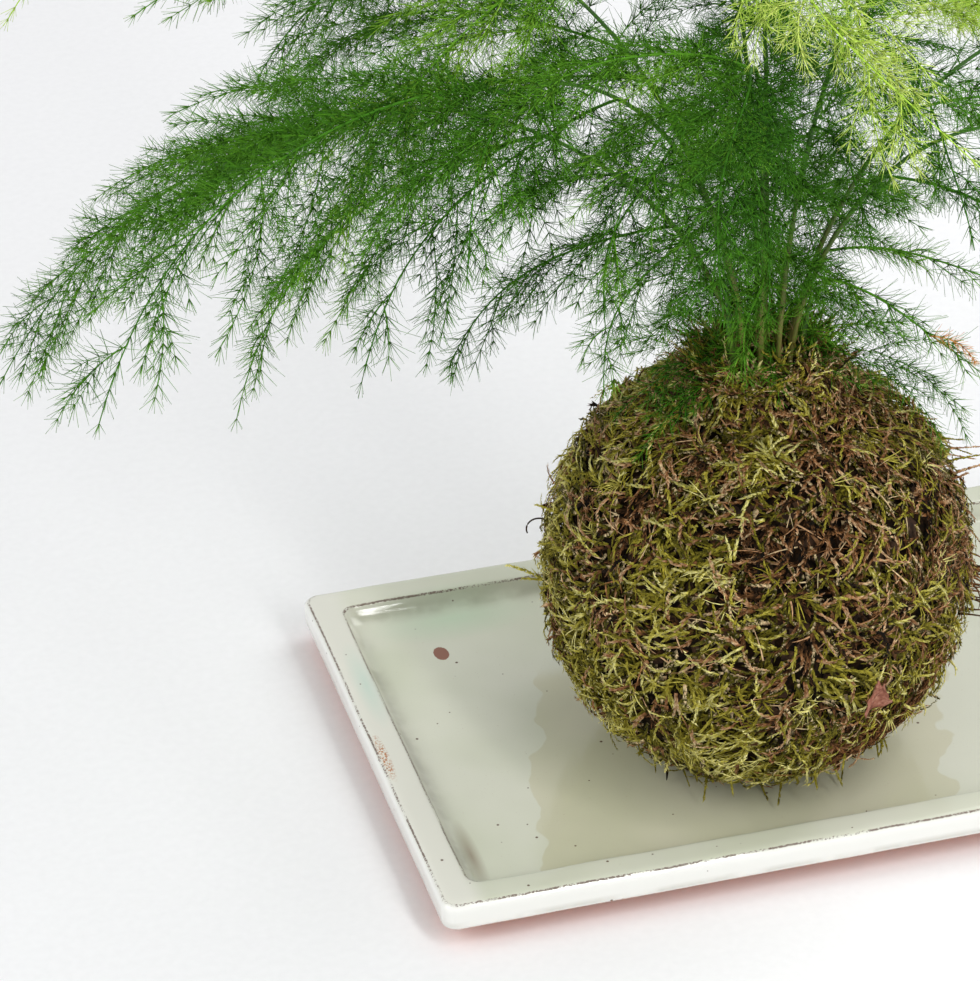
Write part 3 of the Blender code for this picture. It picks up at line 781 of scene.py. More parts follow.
def moss_seats(count, seed, least_height=2.5 * MM):
    """Directions and skin frames for shoots, with four times as many on the slope of the neck."""
    directions = scattered(count, seed)
    on_slope = np.abs(directions[:, 2] - NECK_SLOPE) < SLOPE_BAND
    twins = np.repeat(directions[on_slope], 3, axis=0)
    twins = unit(twins + np.random.default_rng(seed + 1000).normal(0, 0.05, twins.shape))
    directions = np.vstack([directions, twins])
    point, east, down, out = skin_frame(directions)
    shown = (point[:, 2] > BALL_LOW[2] + least_height) & (np.hypot(*(point - BALL_MIDDLE)[:, :2].T) > NECK_HOLE)
    return [values[shown] for values in (directions, point, east, down, out)]


print("seats from 1000:", len(moss_seats(1000, 1)[0]))

# %% [markdown]
# ## The moss ball: how moss is added
#
# A shoot can point any way along the skin. Under the ball, the weight of the soil presses the shoots flat on the
# tray, so any point that would be sunk in the glaze is lifted to just above it.

# %% Turn and add moss
TRAY_FLOOR_CLEAR = BALL_LOW[2] + 0.1 * MM


def turned_way(east, down, spin):
    """Ways along the skin, turned from east towards down."""
    return east * np.cos(spin)[:, None] + down * np.sin(spin)[:, None]


def add_moss(name, solid):
    """Adds a piece of moss, with no point of it sunk in the tray."""
    solid[0][:, 2] = np.maximum(solid[0][:, 2], TRAY_FLOOR_CLEAR)
    add_piece(name, solid, moss, "sheet_moss")
    print(name, "-", len(solid[1]), "triangles")


print("moss stays above", round(TRAY_FLOOR_CLEAR / MM, 1), "mm")

# %% [markdown]
# ## The moss ball: layers of shoots
#
# The sheet was pressed round the ball by hand, so its shoots lie in swirls. One thick layer would look like a
# brush, so there are four: broad shoots below, painted dark as the shade under the rest, finer ones over them,
# bright ones on top, and dead ones last. None grow over a patch of bare peat low on the right.

# %% Lay the shoots
PEAT_PATCH, PEAT_REACH = aimed(-58, -38), 0.30


def lay_shoots(name, count, seed, leaves, shortest, longest, depth, rise, lift, brown, holes, leaf_size, painted_brightness):
    """One layer of plaited shoots all over the ball."""
    rng = np.random.default_rng(seed)
    directions, point, east, down, out = moss_seats(count, seed)
    grown = ripple(point, 10 * MM, 35) + rng.normal(0, 0.5, len(point)) > holes
    grown &= np.linalg.norm(directions - PEAT_PATCH, axis=-1) + rng.normal(0, 0.06, len(point)) > PEAT_REACH
    directions, point, east, down, out = (values[grown] for values in (directions, point, east, down, out))
    count = len(point)
    way = turned_way(east, down, 0.9 + 1.6 * ripple(point, 38 * MM, 33) + rng.normal(0, 0.75, count))
    clump = ripple(point, 8 * MM, 34) * 0.9
    lengths = rng.uniform(shortest, longest, count) * MM
    paths = curved_shoots(point + out * (clump - depth)[:, None] * MM, way, np.cross(out, way), out, lengths,
                          rise * rng.uniform(0.3, 1.6, count) * MM, lift * rng.uniform(-0.4, 1.5, count) * MM,
                          rng.normal(0, 0.55, count))
    tones = moss_tone(dryness(directions, point) + brown + rng.normal(0, 0.17, count))
    tones = tones - 0.08 * rng.uniform(0, 1, count) ** 2
    # Painted shade: each layer's tones are scaled by how bright it is painted, the lower layers darker as the shade
    # under the shoots above.
    tones = np.where(tones > 0.5, 0.5 + (tones - 0.5) * painted_brightness, tones * painted_brightness)
    add_moss(name, plaited(paths, out, tones, leaves, rng, leaf_size))


# Each row: name, seats, seed, leaves on a shoot; shortest, longest, depth, arch and lift of its tip, all in mm;
# how much browner it is, above what level of unevenness it grows, the size of its leaves, and how bright it is
# painted, the lower layers darker as painted shade under the shoots above.
for layer in (("moss_under_shoots", 2700, 41, 8, 5.0, 9.0, 4.0, 0.9, 0.6, 0.10, -9, 1.45, 0.6),
              ("moss_middle_shoots", 2900, 42, 11, 4.5, 9.0, 2.8, 1.4, 1.4, 0.02, -2.0, 1.05, 0.9),
              ("moss_top_shoots", 2600, 43, 12, 5.0, 10.5, 1.8, 1.6, 2.2, -0.04, -1.0, 1.0, 1.0),
              ("moss_withered_shoots", 520, 44, 10, 4.5, 8.5, 1.4, 1.6, 1.2, 0.40, -9, 1.2, 1.1)):
    lay_shoots(*layer)

# %% [markdown]
# ## The moss ball: tufts and straw
#
# A sheet of moss is never one plant. Between the shoots stand tufts of another moss with blades like grass, and
# dry grass stalks lie over it. Both are threads that bend evenly from one way to another and taper to a point, so
# one function makes every thread on the ball.

# %% Add tufts and straw
TUFTS, BLADES = 130, 9
STRAWS = 1300
STRAW_FROM = 0.36


def bent(starts, first, last, lengths, stations):
    """Paths that set off along first and turn evenly to last."""
    share = np.linspace(0, 1, stations)[None, :, None]
    heading = unit(first[:, None] * (1 - share) + last[:, None] * share)
    steps = (heading[:, 1:] + heading[:, :-1]) / 2 * (lengths[:, None, None] / (stations - 1))
    return np.concatenate([starts[:, None], starts[:, None] + np.cumsum(steps, axis=1)], axis=1)


def fibres(starts, first, last, lengths, radius, tones, stations=4):
    """Thin curving threads that taper to a point. lengths and radius are in mm."""
    radii = np.broadcast_to(radius, len(starts))[:, None] * np.linspace(1.0, 0.25, stations)[None] * MM
    return stems(bent(starts, first, last, lengths * MM, stations), radii, tones[:, None])


rng = np.random.default_rng(50)
placed = [aimed(*both) for both in ((-125, 29), (-118, 22), (-40, 6), (-126, -4))]
tuft_directions = np.vstack([scattered(TUFTS, 51), placed])
point, east, down, out = (np.repeat(values, BLADES, axis=0) for values in skin_frame(tuft_directions))
sprawl = turned_way(east, down, rng.uniform(0, math.tau, len(point)))
lean = np.repeat(rng.normal(0, 0.6, (len(tuft_directions), 1)), BLADES, axis=0)
first, last = unit(out * 0.9 + sprawl * 0.6 + down * lean), unit(out * 0.15 + sprawl + down * 0.35)
add_moss("grass_moss_tufts", fibres(point - out * 2.8 * MM, first, last, rng.uniform(4.5, 8.5, len(point)), 0.24,
                                    np.repeat(rng.uniform(0.72, 1.0, len(tuft_directions)), BLADES)))

directions, *seats = moss_seats(STRAWS, 52)
likely = dryness(directions, seats[0]) + rng.normal(0, 0.2, len(directions)) > STRAW_FROM
point, east, down, out = (values[likely] for values in seats)
column = (len(point), 1)
way = turned_way(east, down, rng.normal(0.9, 1.2, len(point)))
start = point - out * rng.uniform(0.6, 2.6, column) * MM
first = unit(way + out * rng.normal(0.10, 0.12, column))
last = unit(way - out * 0.16 + np.cross(out, way) * rng.normal(0, 0.5, column))
add_moss("dry_straw", fibres(start, first, last, rng.uniform(4, 13, len(point)), rng.uniform(0.14, 0.34, len(point)),
                             rng.uniform(0.22, 0.44, len(point)), 5))

# %% [markdown]
# ## The moss ball: peat and loose shoots
#
# Low on the right, where the moss is thin, brown peat shows through as a thicket of short fibres. All over the
# ball some shoots have come loose and stand away from it. Both use what is written above, turned any way.

# %% Add peat and loose shoots
PEAT_FIBRES = 2200
LOOSE_SHOOTS = 330

point, east, down, out = skin_frame(unit(PEAT_PATCH + rng.normal(0, 0.20, (PEAT_FIBRES, 3))))
way = turned_way(east, down, rng.uniform(0, math.tau, PEAT_FIBRES))
start = point - out * rng.uniform(1.5, 5.0, (PEAT_FIBRES, 1)) * MM
first = unit(way + out * rng.uniform(0.1, 0.9, (PEAT_FIBRES, 1)))
add_moss("peat_fibres", fibres(start, first, unit(way * 0.6 - out * 0.3 + down * 0.3),
                               rng.uniform(2.5, 6.0, PEAT_FIBRES), 0.24, rng.uniform(0.08, 0.24, PEAT_FIBRES)))

directions, point, east, down, out = moss_seats(LOOSE_SHOOTS, 53, 1.0 * MM)
way = turned_way(east, down, rng.uniform(0, math.tau, len(point)))
way = unit(way + out * rng.uniform(0.15, 0.9, (len(point), 1)))
lengths = rng.uniform(4, 8.5, len(point)) * MM
paths = curved_shoots(point - out * 0.5 * MM, way, np.cross(out, way), out, lengths, 0.5 * MM, -0.5 * MM,
                      rng.normal(0, 0.5, len(point)))
tones = moss_tone(dryness(directions, point) + rng.normal(0, 0.2, len(point)))
add_moss("loose_shoots", plaited(paths, out, tones, 10, rng, 0.9))

# %% [markdown]
# ## The moss ball: strays
#
# A few shoots are so plain to see that each is placed one by one: a green one that sticks out on the left, tan
# ones high on the right, and a fringe that hangs down under the near side.

# %% Place the strays
# Each row: degrees round and degrees up, the way it points, its length in mm, the size of its leaves, its tone.
STRAYS = [(163.6, -7, (-0.80, 0.20, 0.56), 17, 1.3, 0.93), (159, -10, (-0.9, 0.2, 0.25), 9, 1.0, 0.85),
          (170, 20, (-0.85, 0.1, 0.5), 8, 1.0, 0.84)]
STRAYS += [(-10 + 3.0 * k, 25 + 2.5 * (k % 4), (0.92 - 0.04 * k, -0.2, 0.30 - 0.12 * k), 9 + 2 * (k % 3), 1.2,
            0.33 + 0.38 * (k % 2)) for k in range(9)]
STRAYS += [(-150 + 11.0 * k, -47 - 3 * (k % 3), (0.25 * math.sin(k * 2.1), -0.30, -0.8), 6 + 1.6 * (k % 3), 1.0,
            0.66 + 0.07 * (k % 4)) for k in range(12)]

azimuths, elevations, ways, lengths, leaf_sizes, tones = zip(*STRAYS)
point, east, down, out = skin_frame(np.array([aimed(*both) for both in zip(azimuths, elevations)]))
way = unit(np.array(ways))
paths = curved_shoots(point - out * 1.5 * MM, way, np.cross(out, way), way, np.array(lengths) * MM, 0, 0,
                      np.linspace(-0.3, 0.3, len(way)))
add_moss("stray_shoots", join([plaited(paths[k:k + 1], out[k:k + 1], np.array([tones[k]]), 16, rng, leaf_sizes[k])
                               for k in range(len(STRAYS))]))

# %% [markdown]
# ## The moss ball: roots
#
# A wiry root loops out on the left, and a bundle of brown roots breaks out on the right. The loop is two thirds of
# a circle, with one end under the skin. The bundle is made of the same threads as the straw.

# %% Add roots
ROOTS = 34
LOOP_RADIUS, ROOT_RADIUS = 3.4 * MM, 0.22 * MM

loop_turn = np.linspace(-0.4, 3.6, 24)[:, None]
loop = (outward(164) * np.cos(loop_turn) + UP * np.sin(loop_turn)) * LOOP_RADIUS
loop = skin(aimed(158.0, 4.0)) + outward(158) * 1.5 * MM + UP * 2.5 * MM + loop
point, east, down, out = skin_frame(unit(aimed(-17, -5) + rng.normal(0, 0.07, (ROOTS, 3))))
first = unit(out + rng.normal(0, 0.25, (ROOTS, 3)))
last = unit(first + rng.normal(0, 0.5, (ROOTS, 3)) - UP * 0.4)
roots = fibres(point - out * 1.5 * MM, first, last, rng.uniform(6, 12, ROOTS), rng.uniform(0.25, 0.65, ROOTS),
               rng.uniform(0.07, 0.22, ROOTS), 7)
add_moss("root_threads", join([stems(loop[None], ROOT_RADIUS, 0.07, sides=6), roots]))

# %% [markdown]
# ## The moss ball: bark flakes
#
# Flakes of bark and withered leaf, 2 to 4 mm long, lie in the gaps. Each is one broad, nearly flat point.

# %% Add bark flakes
FLAKES = 120
FLAKE_FLATNESS = 0.3

_, point, east, down, out = moss_seats(FLAKES, 54)
way = turned_way(east, down, rng.uniform(0, math.tau, len(point)))
way = unit(way + out * rng.normal(0.15, 0.25, (len(point), 1)))
lengths, half_widths = rng.uniform(2.0, 4.2, len(point)) * MM, rng.uniform(0.7, 1.5, len(point)) * MM
tones = rng.uniform(0.14, 0.30, len(point))
start = point - way * 1.2 * MM - out * 0.8 * MM
add_moss("bark_flakes", spikes(start, way, lengths, half_widths, tones, tones, out, FLAKE_FLATNESS))

# %% [markdown]
# ## The moss ball: its neck
#
# Round the neck, moss creeps up between the canes. Two shoots in five stand up and the rest sprawl outwards, so
# that the neck ends in a ragged edge and not in a ring.

# %% Add neck shoots
NECK_SHOOTS = 330
NECK_TURN = 2.4

spin = np.arange(NECK_SHOOTS) * NECK_TURN + rng.normal(0, 0.2, NECK_SHOOTS)
away = np.column_stack([np.cos(spin), np.sin(spin), np.zeros(NECK_SHOOTS)])
foot = BALL_FOOT + away * rng.uniform(8, 16, (NECK_SHOOTS, 1)) * MM
foot = foot + UP * (NECK_TOP - rng.uniform(0, 6, (NECK_SHOOTS, 1)) * MM)
upright, sprawling = rng.uniform(0.5, 1.2, NECK_SHOOTS), rng.uniform(-0.3, 0.35, NECK_SHOOTS)
rising = np.where(np.arange(NECK_SHOOTS) % 5 < 2, upright, sprawling)[:, None]
way = UP * rising + away * rng.normal(0.45, 0.35, (NECK_SHOOTS, 1))
way = unit(way + rng.normal(0, 0.4, (NECK_SHOOTS, 3)) * (1, 1, 0.3))
lengths = rng.uniform(6, 12, NECK_SHOOTS) * MM
paths = curved_shoots(foot, way, np.cross(away, way), away, lengths, 0.8 * MM, 0.5 * MM,
                      rng.normal(0, 0.4, NECK_SHOOTS))
tones = moss_tone(np.clip(rng.normal(0.42, 0.24, NECK_SHOOTS), 0, 1))
add_moss("neck_shoots", plaited(paths, away, tones, 10, rng, 1.15))

# %% [markdown]
# ## The canes: their curves
#
# The old stems of an asparagus fern are wiry canes that rise from the crown and arch over under the weight of
# their fronds. The CAD gives each one as a plain tube along a curve, and the same curve is worked out here, because
# the fronds have to start on it.

# %% Bend the canes
GAP = 0.3 * MM
CANE_BASE_Z = 128.0 * MM + GAP
CANE_RING = 7.2 * MM
ARCH_OUT, ARCH_UP = 1.55, 1.7

# Direction seen from above in degrees, reach and top height in mm, then the fronds on that cane:
# how far up it each leaves, its length in mm, and its slope in degrees at its start and its end.
CANES = (
    (167, 92, 206, ((1.0, 128, -4, -58), (0.72, 112, -6, -76), (0.36, 75, -2, -72))),
    (131, 84, 226, ((1.0, 148, 16, -60), (0.62, 118, 10, -54), (0.30, 80, 5, -58))),
    (206, 90, 240, ((1.0, 146, 28, -74), (0.70, 102, 8, -76), (0.30, 58, 2, -74))),
    (244, 60, 244, ((1.0, 86, 24, -66), (0.55, 64, 12, -72), (0.20, 36, 4, -60))),
    (280, 44, 243, ((1.0, 72, 8, -58), (0.50, 54, 14, -64))),
    (320, 66, 212, ((1.0, 112, 14, -74), (0.55, 84, 2, -68), (0.22, 50, -4, -50))),
    (2, 78, 216, ((1.0, 118, 14, -66), (0.58, 96, 4, -56), (0.22, 70, -6, -44))),
    (42, 72, 230, ((1.0, 125, 18, -62), (0.58, 100, 10, -60), (0.24, 75, 0, -52))),
    (86, 64, 238, ((1.0, 118, 20, -64), (0.58, 95, 12, -60), (0.26, 72, 2, -52))),
)
LEADER_TOP, LEADER_LEAN, LEADER_WAY = 276 * MM, 14 * MM, 100


def cane_point(cane, share):
    """A point on an arching cane, at a share of the way from its base to its tip."""
    share = np.asarray(share, dtype=float)[..., None]
    out = CANE_RING + (cane[1] * MM - CANE_RING) * share ** ARCH_OUT
    height = CANE_BASE_Z + (cane[2] * MM - CANE_BASE_Z) * (1 - (1 - share) ** ARCH_UP)
    return BALL_FOOT + outward(cane[0]) * out + UP * height


def leader_point(share):
    """A point on the middle cane, which leans a little more the higher it gets."""
    share = np.asarray(share, dtype=float)[..., None]
    height = CANE_BASE_Z + (LEADER_TOP - CANE_BASE_Z) * share
    return BALL_FOOT + outward(LEADER_WAY) * LEADER_LEAN * share ** 2 + UP * height


CURVES = {f"{number:02d}": partial(cane_point, cane) for number, cane in enumerate(CANES, 1)}
CURVES["leader"] = leader_point
print("cane tips, mm high:", {label: round(float(curve(1.0)[2]) / MM) for label, curve in CURVES.items()})

# %% [markdown]
# ## The canes: green bark
#
# A cane is about 1.5 mm thick at the foot and 0.8 mm at the tip, green going to straw at the foot, with a dull
# ribbed skin. A curve with a bevel would be smooth all along. This stem has eight sides and a small swelling at
# each node, where a scale leaf once sat. The colour runs in streaks 0.8 mm wide, drawn out along the cane.

# %% Skin the canes
CANE_BASE_RADIUS, CANE_TIP_RADIUS = 0.74 * MM, 0.42 * MM
CANE_STATIONS = 60
NODE_SPACING, NODE_HALF_LENGTH, NODE_SWELLING = 11 * MM, 0.7 * MM, 0.22

cane_bark, tree, shader, where = new_material("green_cane_bark", Roughness=0.5, Specular_IOR_Level=0.4)
long_way = add(tree, "Mapping", {"Vector": where, "Scale": (1.0, 1.0, 0.12)})
streaks = add(tree, "TexNoise", {"Vector": long_way, "Scale": 1 / (0.8 * MM), "Detail": 3.0})
finish(shader, Base_Color=toned(tree, add(tree, "MapRange", {"Value": streaks, "To Min": -0.25, "To Max": 0.25}),
                                ((0.0, "80793C"), (0.3, "56652A"), (0.6, "365C20"), (1.0, "47762A"))),
       Normal=add(tree, "Bump", {"Height": streaks, "Strength": 0.5, "Distance": 0.15 * MM}))


def cane_radius(share):
    """How thick a cane is, at a share of the way up it."""
    return CANE_BASE_RADIUS + (CANE_TIP_RADIUS - CANE_BASE_RADIUS) * share


for label, curve in CURVES.items():
    path = curve(np.linspace(0, 1, CANE_STATIONS))
    run = np.concatenate([[0], np.cumsum(np.linalg.norm(np.diff(path, axis=0), axis=1))])
    off_node = ((run / NODE_SPACING + 0.5) % 1 - 0.5) * NODE_SPACING / NODE_HALF_LENGTH
    radii = cane_radius(run / run[-1]) * (1 + NODE_SWELLING * np.exp(-off_node ** 2))
    add_piece(f"cane_{label}_bark", stems(path[None], radii[None], (run / run[-1])[None], sides=8), cane_bark,
              "wiry_cane", [f"cane_{label}"])
    print("cane", label, "-", round(run[-1] / MM), "mm long")

# %% [markdown]
# ## The foliage: needles in whorls
#
# What look like leaves on this fern are short green stems, finer than thread, that stand in whorls round the
# twigs. They are 5 to 7 mm long and 0.15 mm thick in life. Here they are drawn up to 0.23 mm thick so that they
# show, and the whorls stand 3.1 mm apart, which is a little sparser than life.

# %% Set the needles on a twig
WHORL_PITCH = 3.1 * MM
NEEDLES_IN_WHORL = 7
NEEDLE_LENGTH = 8.2 * MM
NEEDLE_HALF_WIDTH = 0.115 * MM
LEAN_DEGREES, LEAN_CLOSES = 52, 26


def spaced(lengths, first, pitch):
    """Places at an even spacing along stems: which stem, how far along, and its number there."""
    counts = np.maximum(((lengths - first) / pitch).astype(int) + 1, 0) * (lengths > first)
    owner = np.repeat(np.arange(len(lengths)), counts)
    order = np.arange(len(owner)) - np.repeat(np.cumsum(counts) - counts, counts)
    return owner, (first + order * pitch) / lengths[owner], order


def whorls(paths, lengths, first, pitch, tones, rng, needle=NEEDLE_LENGTH):
    """Rings of needles along every path, leaning forward more and more towards its tip."""
    owner, share, _ = spaced(lengths, first, pitch)
    share = np.clip(share + rng.normal(0, 0.15, len(share)) * pitch / lengths[owner], 0, 1)
    heading = unit(along(unit(np.gradient(paths, axis=1)), owner, share))
    across, over = frame_of(heading)
    size = (len(owner), NEEDLES_IN_WHORL)
    spin = rng.uniform(0, math.tau, (len(owner), 1)) + np.arange(NEEDLES_IN_WHORL) * math.tau / NEEDLES_IN_WHORL
    spin = spin + rng.normal(0, 0.25, size)
    lean = np.radians(LEAN_DEGREES - LEAN_CLOSES * share[:, None] ** 3 + rng.normal(0, 11, size))[..., None]
    sideways = across[:, None] * np.cos(spin)[..., None] + over[:, None] * np.sin(spin)[..., None]
    direction = (heading[:, None] * np.cos(lean) + sideways * np.sin(lean)).reshape(-1, 3)
    lengths = (needle * (1 - 0.5 * share[:, None] ** 3) * rng.uniform(0.72, 1.12, size)).reshape(-1)
    tone = np.repeat(tones[owner] + 0.14 * share ** 2, NEEDLES_IN_WHORL) + rng.normal(0, 0.05, len(lengths))
    turn = rng.uniform(0, math.tau, len(lengths))
    nodes = np.repeat(along(paths, owner, share), NEEDLES_IN_WHORL, axis=0)
    return needles(nodes, direction, lengths, NEEDLE_HALF_WIDTH, tone, tone - 0.05, turn)


print("whorls on a 60 mm sprig:", len(spaced(np.array([60 * MM]), 1.5 * MM, WHORL_PITCH)[0]))

# %% [markdown]
# ## The foliage: sprigs
#
# A sprig carries twigs to its left and right in one flat plane, like a feather, with whorls of needles along both.
# It could be drawn by hand or grown by geometry nodes. Here each level is worked out from the one before, for
# every twig at once, which keeps it quick and the same each time.

# %% Grow sprigs
FIRST_TWIG, TWIG_PITCH = 3.5 * MM, 5.6 * MM
TWIG_REACH = 0.62
TWIG_FORK_DEGREES = 33
SHORTEST_TWIG, LONGEST_TWIG = 3 * MM, 25 * MM
SPRIG_STATIONS, TWIG_STATIONS = 9, 4


def left_and_right(order):
    """1 and -1 in turn."""
    return np.where(order % 2 == 0, 1.0, -1.0)[:, None]


def tapering(base, tip, stations):
    """Radii along a stem, given in mm."""
    return np.linspace(base, tip, stations)[None] * MM


def leafy(sprigs, lengths, tones, blade_up, sag, rng, twig_reach=TWIG_REACH):
    """Sprigs with their twigs and needles. blade_up is square to the flat spray that each one's twigs lie in."""
    owner, share, order = spaced(lengths * twig_reach, FIRST_TWIG, TWIG_PITCH)
    share = np.clip(share * twig_reach + rng.normal(0, 0.012, len(share)), 0, 0.95)
    heading = unit(along(unit(np.gradient(sprigs, axis=1)), owner, share))
    level = unit(np.cross(heading, blade_up[owner])) * left_and_right(order)
    fork = np.radians(rng.normal(TWIG_FORK_DEGREES, 8, len(owner)))[:, None]
    tilt = rng.normal(0, 0.22, len(owner))[:, None]
    first = unit(heading * np.cos(fork) + level * np.sin(fork) + blade_up[owner] * tilt)
    last = unit(heading + first * 0.35 - UP * 0.4 * sag)
    twig_lengths = np.clip(2.0 * MM + 0.5 * lengths[owner] * (1 - share), SHORTEST_TWIG, LONGEST_TWIG)
    twig_lengths = twig_lengths * rng.uniform(0.6, 1.2, len(owner))
    twigs = bent(along(sprigs, owner, share), first, last, twig_lengths, TWIG_STATIONS)
    twig_tones = tones[owner] + 0.05 * share
    return [stems(sprigs, tapering(0.22, 0.11, SPRIG_STATIONS), tones[:, None] + 0.06),
            stems(twigs, tapering(0.13, 0.08, TWIG_STATIONS), twig_tones[:, None] + 0.06),
            whorls(sprigs, lengths, 1.5 * MM, WHORL_PITCH, tones, rng),
            whorls(twigs, twig_lengths, 1.8 * MM, WHORL_PITCH, twig_tones, rng, NEEDLE_LENGTH * 0.9)]


print("twigs on a 60 mm sprig:", len(spaced(np.array([60 * MM]) * TWIG_REACH, FIRST_TWIG, TWIG_PITCH)[0]))

# %% [markdown]
# ## The foliage: a frond
#
# A frond is a midrib that arches over, with sprigs to its left and right that are longest near its foot. Each one
# sets off at a fork from the midrib, turns to run beside it, and sags at its end.

# %% Grow a frond
STALK_SHARE, SPRIGS_END = 0.08, 0.86
SPRIG_PITCH = 5.4 * MM
SPRIG_SHARE = 0.46
SPRIG_FORK_DEGREES = 42
SHORTEST_SPRIG = 6 * MM
FROND_STATIONS = 28


def frond_path(start, degrees, length, first_slope, last_slope):
    """Points along a frond whose slope turns evenly from its start to its end."""
    slope = np.radians(first_slope + (last_slope - first_slope) * np.linspace(0, 1, FROND_STATIONS))[:, None]
    heading = outward(degrees) * np.cos(slope) + UP * np.sin(slope)
    return np.vstack([start, start + np.cumsum(heading[:-1] * length / (FROND_STATIONS - 1), axis=0)])


def grow_frond(start, degrees, length, first_slope, last_slope, seed, stretch, bend, drop, bow, breadth, sag, youth):
    """A whole frond as one solid: midrib, sprigs, twigs and needles. length, bend, drop and bow are in mm."""
    rng = np.random.default_rng(seed)
    length = length * stretch * MM
    side = np.cross(UP, outward(degrees))
    share = np.linspace(0, 1, FROND_STATIONS)[:, None]
    path = frond_path(start, degrees, length, first_slope, last_slope)
    path = path + side * (bend * share ** 2 + rng.uniform(1, 2) * np.sin(share * 7)) * MM
    path = (path - UP * drop * share ** 2 * MM + side * bow * np.sin(share * math.pi) * MM)[None]
    whole = np.array([length])

    owner, share, order = spaced(whole, STALK_SHARE * length, SPRIG_PITCH)
    kept = (rng.uniform(0, 1, len(share)) > 0.6 * (share - 0.35)) & (share < SPRIGS_END)
    owner, share, order = owner[kept], share[kept], order[kept]
    share = np.clip(share + rng.normal(0, 0.008, len(share)), 0, 0.98)
    rib, hand = unit(along(unit(np.gradient(path, axis=1)), owner, share)), left_and_right(order)
    fork = np.radians(rng.normal(SPRIG_FORK_DEGREES, 8, len(share)))[:, None]
    blade_up = unit(np.cross(rib, side))
    tilt = rng.normal(0.0, 0.2, len(share))[:, None]
    first = unit(rib * np.cos(fork) + side * hand * np.sin(fork) + blade_up * tilt)
    spread, fall = rng.uniform(0.0, 0.5, len(share))[:, None], sag * rng.uniform(0.5, 1.6, len(share))[:, None]
    last = unit(rib + side * hand * spread - UP * fall)
    feather = np.minimum(1, 0.45 + (share - STALK_SHARE) / 0.15) * (1 - share) ** 0.55
    lengths = SPRIG_SHARE * breadth * length * feather * rng.uniform(0.65, 1.25, len(share))
    lengths = np.maximum(lengths, SHORTEST_SPRIG)
    tones = youth + 0.10 * share + rng.normal(0, 0.04, len(share))
    sprigs = bent(along(path, owner, share), first, last, lengths, SPRIG_STATIONS)
    return join([stems(path, tapering(0.42, 0.14, FROND_STATIONS), youth, sides=5),
                 *leafy(sprigs, lengths, tones, blade_up, sag, rng, TWIG_REACH * breadth ** 2),
                 whorls(path, whole, STALK_SHARE * length, WHORL_PITCH * 1.3, np.array([youth]), rng)])


print("places for sprigs on a 120 mm frond:", len(spaced(np.array([0.12]), STALK_SHARE * 0.12, SPRIG_PITCH)[0]))

# %% [markdown]
# ## The foliage: colour
#
# The needles have a thin waxy skin over green tissue: roughness about a half, IOR 1.4. Old fronds are deep green,
# and young ones a bright yellow-green, so every frond has a youth from 0 to 1 that sets its tones, and each tip is
# younger than the stem behind it.

# %% Mix the greens
fern, tree, shader, where = new_material("asparagus_fern_needle", Roughness=0.55, IOR=1.4, Specular_IOR_Level=0.15)
flush = add(tree, "TexNoise", {"Vector": where, "Scale": 1 / (16 * MM), "Detail": 2.0})
FERN_GREENS = ((0.0, "205008"), (0.25, "407816"), (0.45, "629C24"), (0.65, "92C23A"), (0.82, "B6DA4E"),
               (1.0, "DCEE7C"))
shift = add(tree, "MapRange", {"Value": flush, "To Min": -0.125, "To Max": 0.125})
finish(shader, Base_Color=toned(tree, shift, FERN_GREENS))


def add_foliage(name, solid, stands_for=()):
    """Adds a piece of green foliage."""
    add_piece(name, solid, fern, "fern_foliage", stands_for)


print("greens from old to young:", len(FERN_GREENS))

# %% [markdown]
# ## The foliage: every frond
#
# Each frond of the CAD is replaced by a grown one on the same curve, and more are added between them, because
# the plant is denser than its plain model. No two hang alike, so the ones that differ are listed by name.

# %% List the fronds
# Fronds on the middle cane: how far up it, direction in degrees, length in mm, first and last slope in degrees.
LEADER_FRONDS = ((0.99, 160, 120, 30, -32), (0.955, 30, 102, 32, -32), (0.92, 278, 124, 20, -54))

# Extra fronds: which cane (0 is the middle one), how far up it, direction, length, first and last slope.
SIDE_FRONDS = (
    (1, 0.90, 146, 92, 0, -60), (3, 0.86, 178, 110, 16, -60), (3, 0.50, 226, 58, 6, -66),
    (2, 0.86, 158, 116, 18, -42), (2, 0.55, 164, 86, 10, -50), (2, 0.80, 108, 90, 16, -56),
    (4, 0.84, 222, 84, 22, -56), (4, 0.45, 262, 50, 10, -66), (9, 0.82, 112, 94, 14, -58),
    (9, 0.60, 66, 76, 10, -58), (3, 0.96, 244, 84, 34, -52), (4, 0.96, 196, 88, 36, -48),
    (2, 0.95, 196, 88, 26, -50), (9, 0.95, 150, 84, 28, -46), (0, 0.82, 206, 152, 30, -44),
    (0, 0.72, 246, 74, 22, -60), (0, 0.86, 130, 92, 30, -44), (2, 0.98, 176, 150, 50, -60),
)

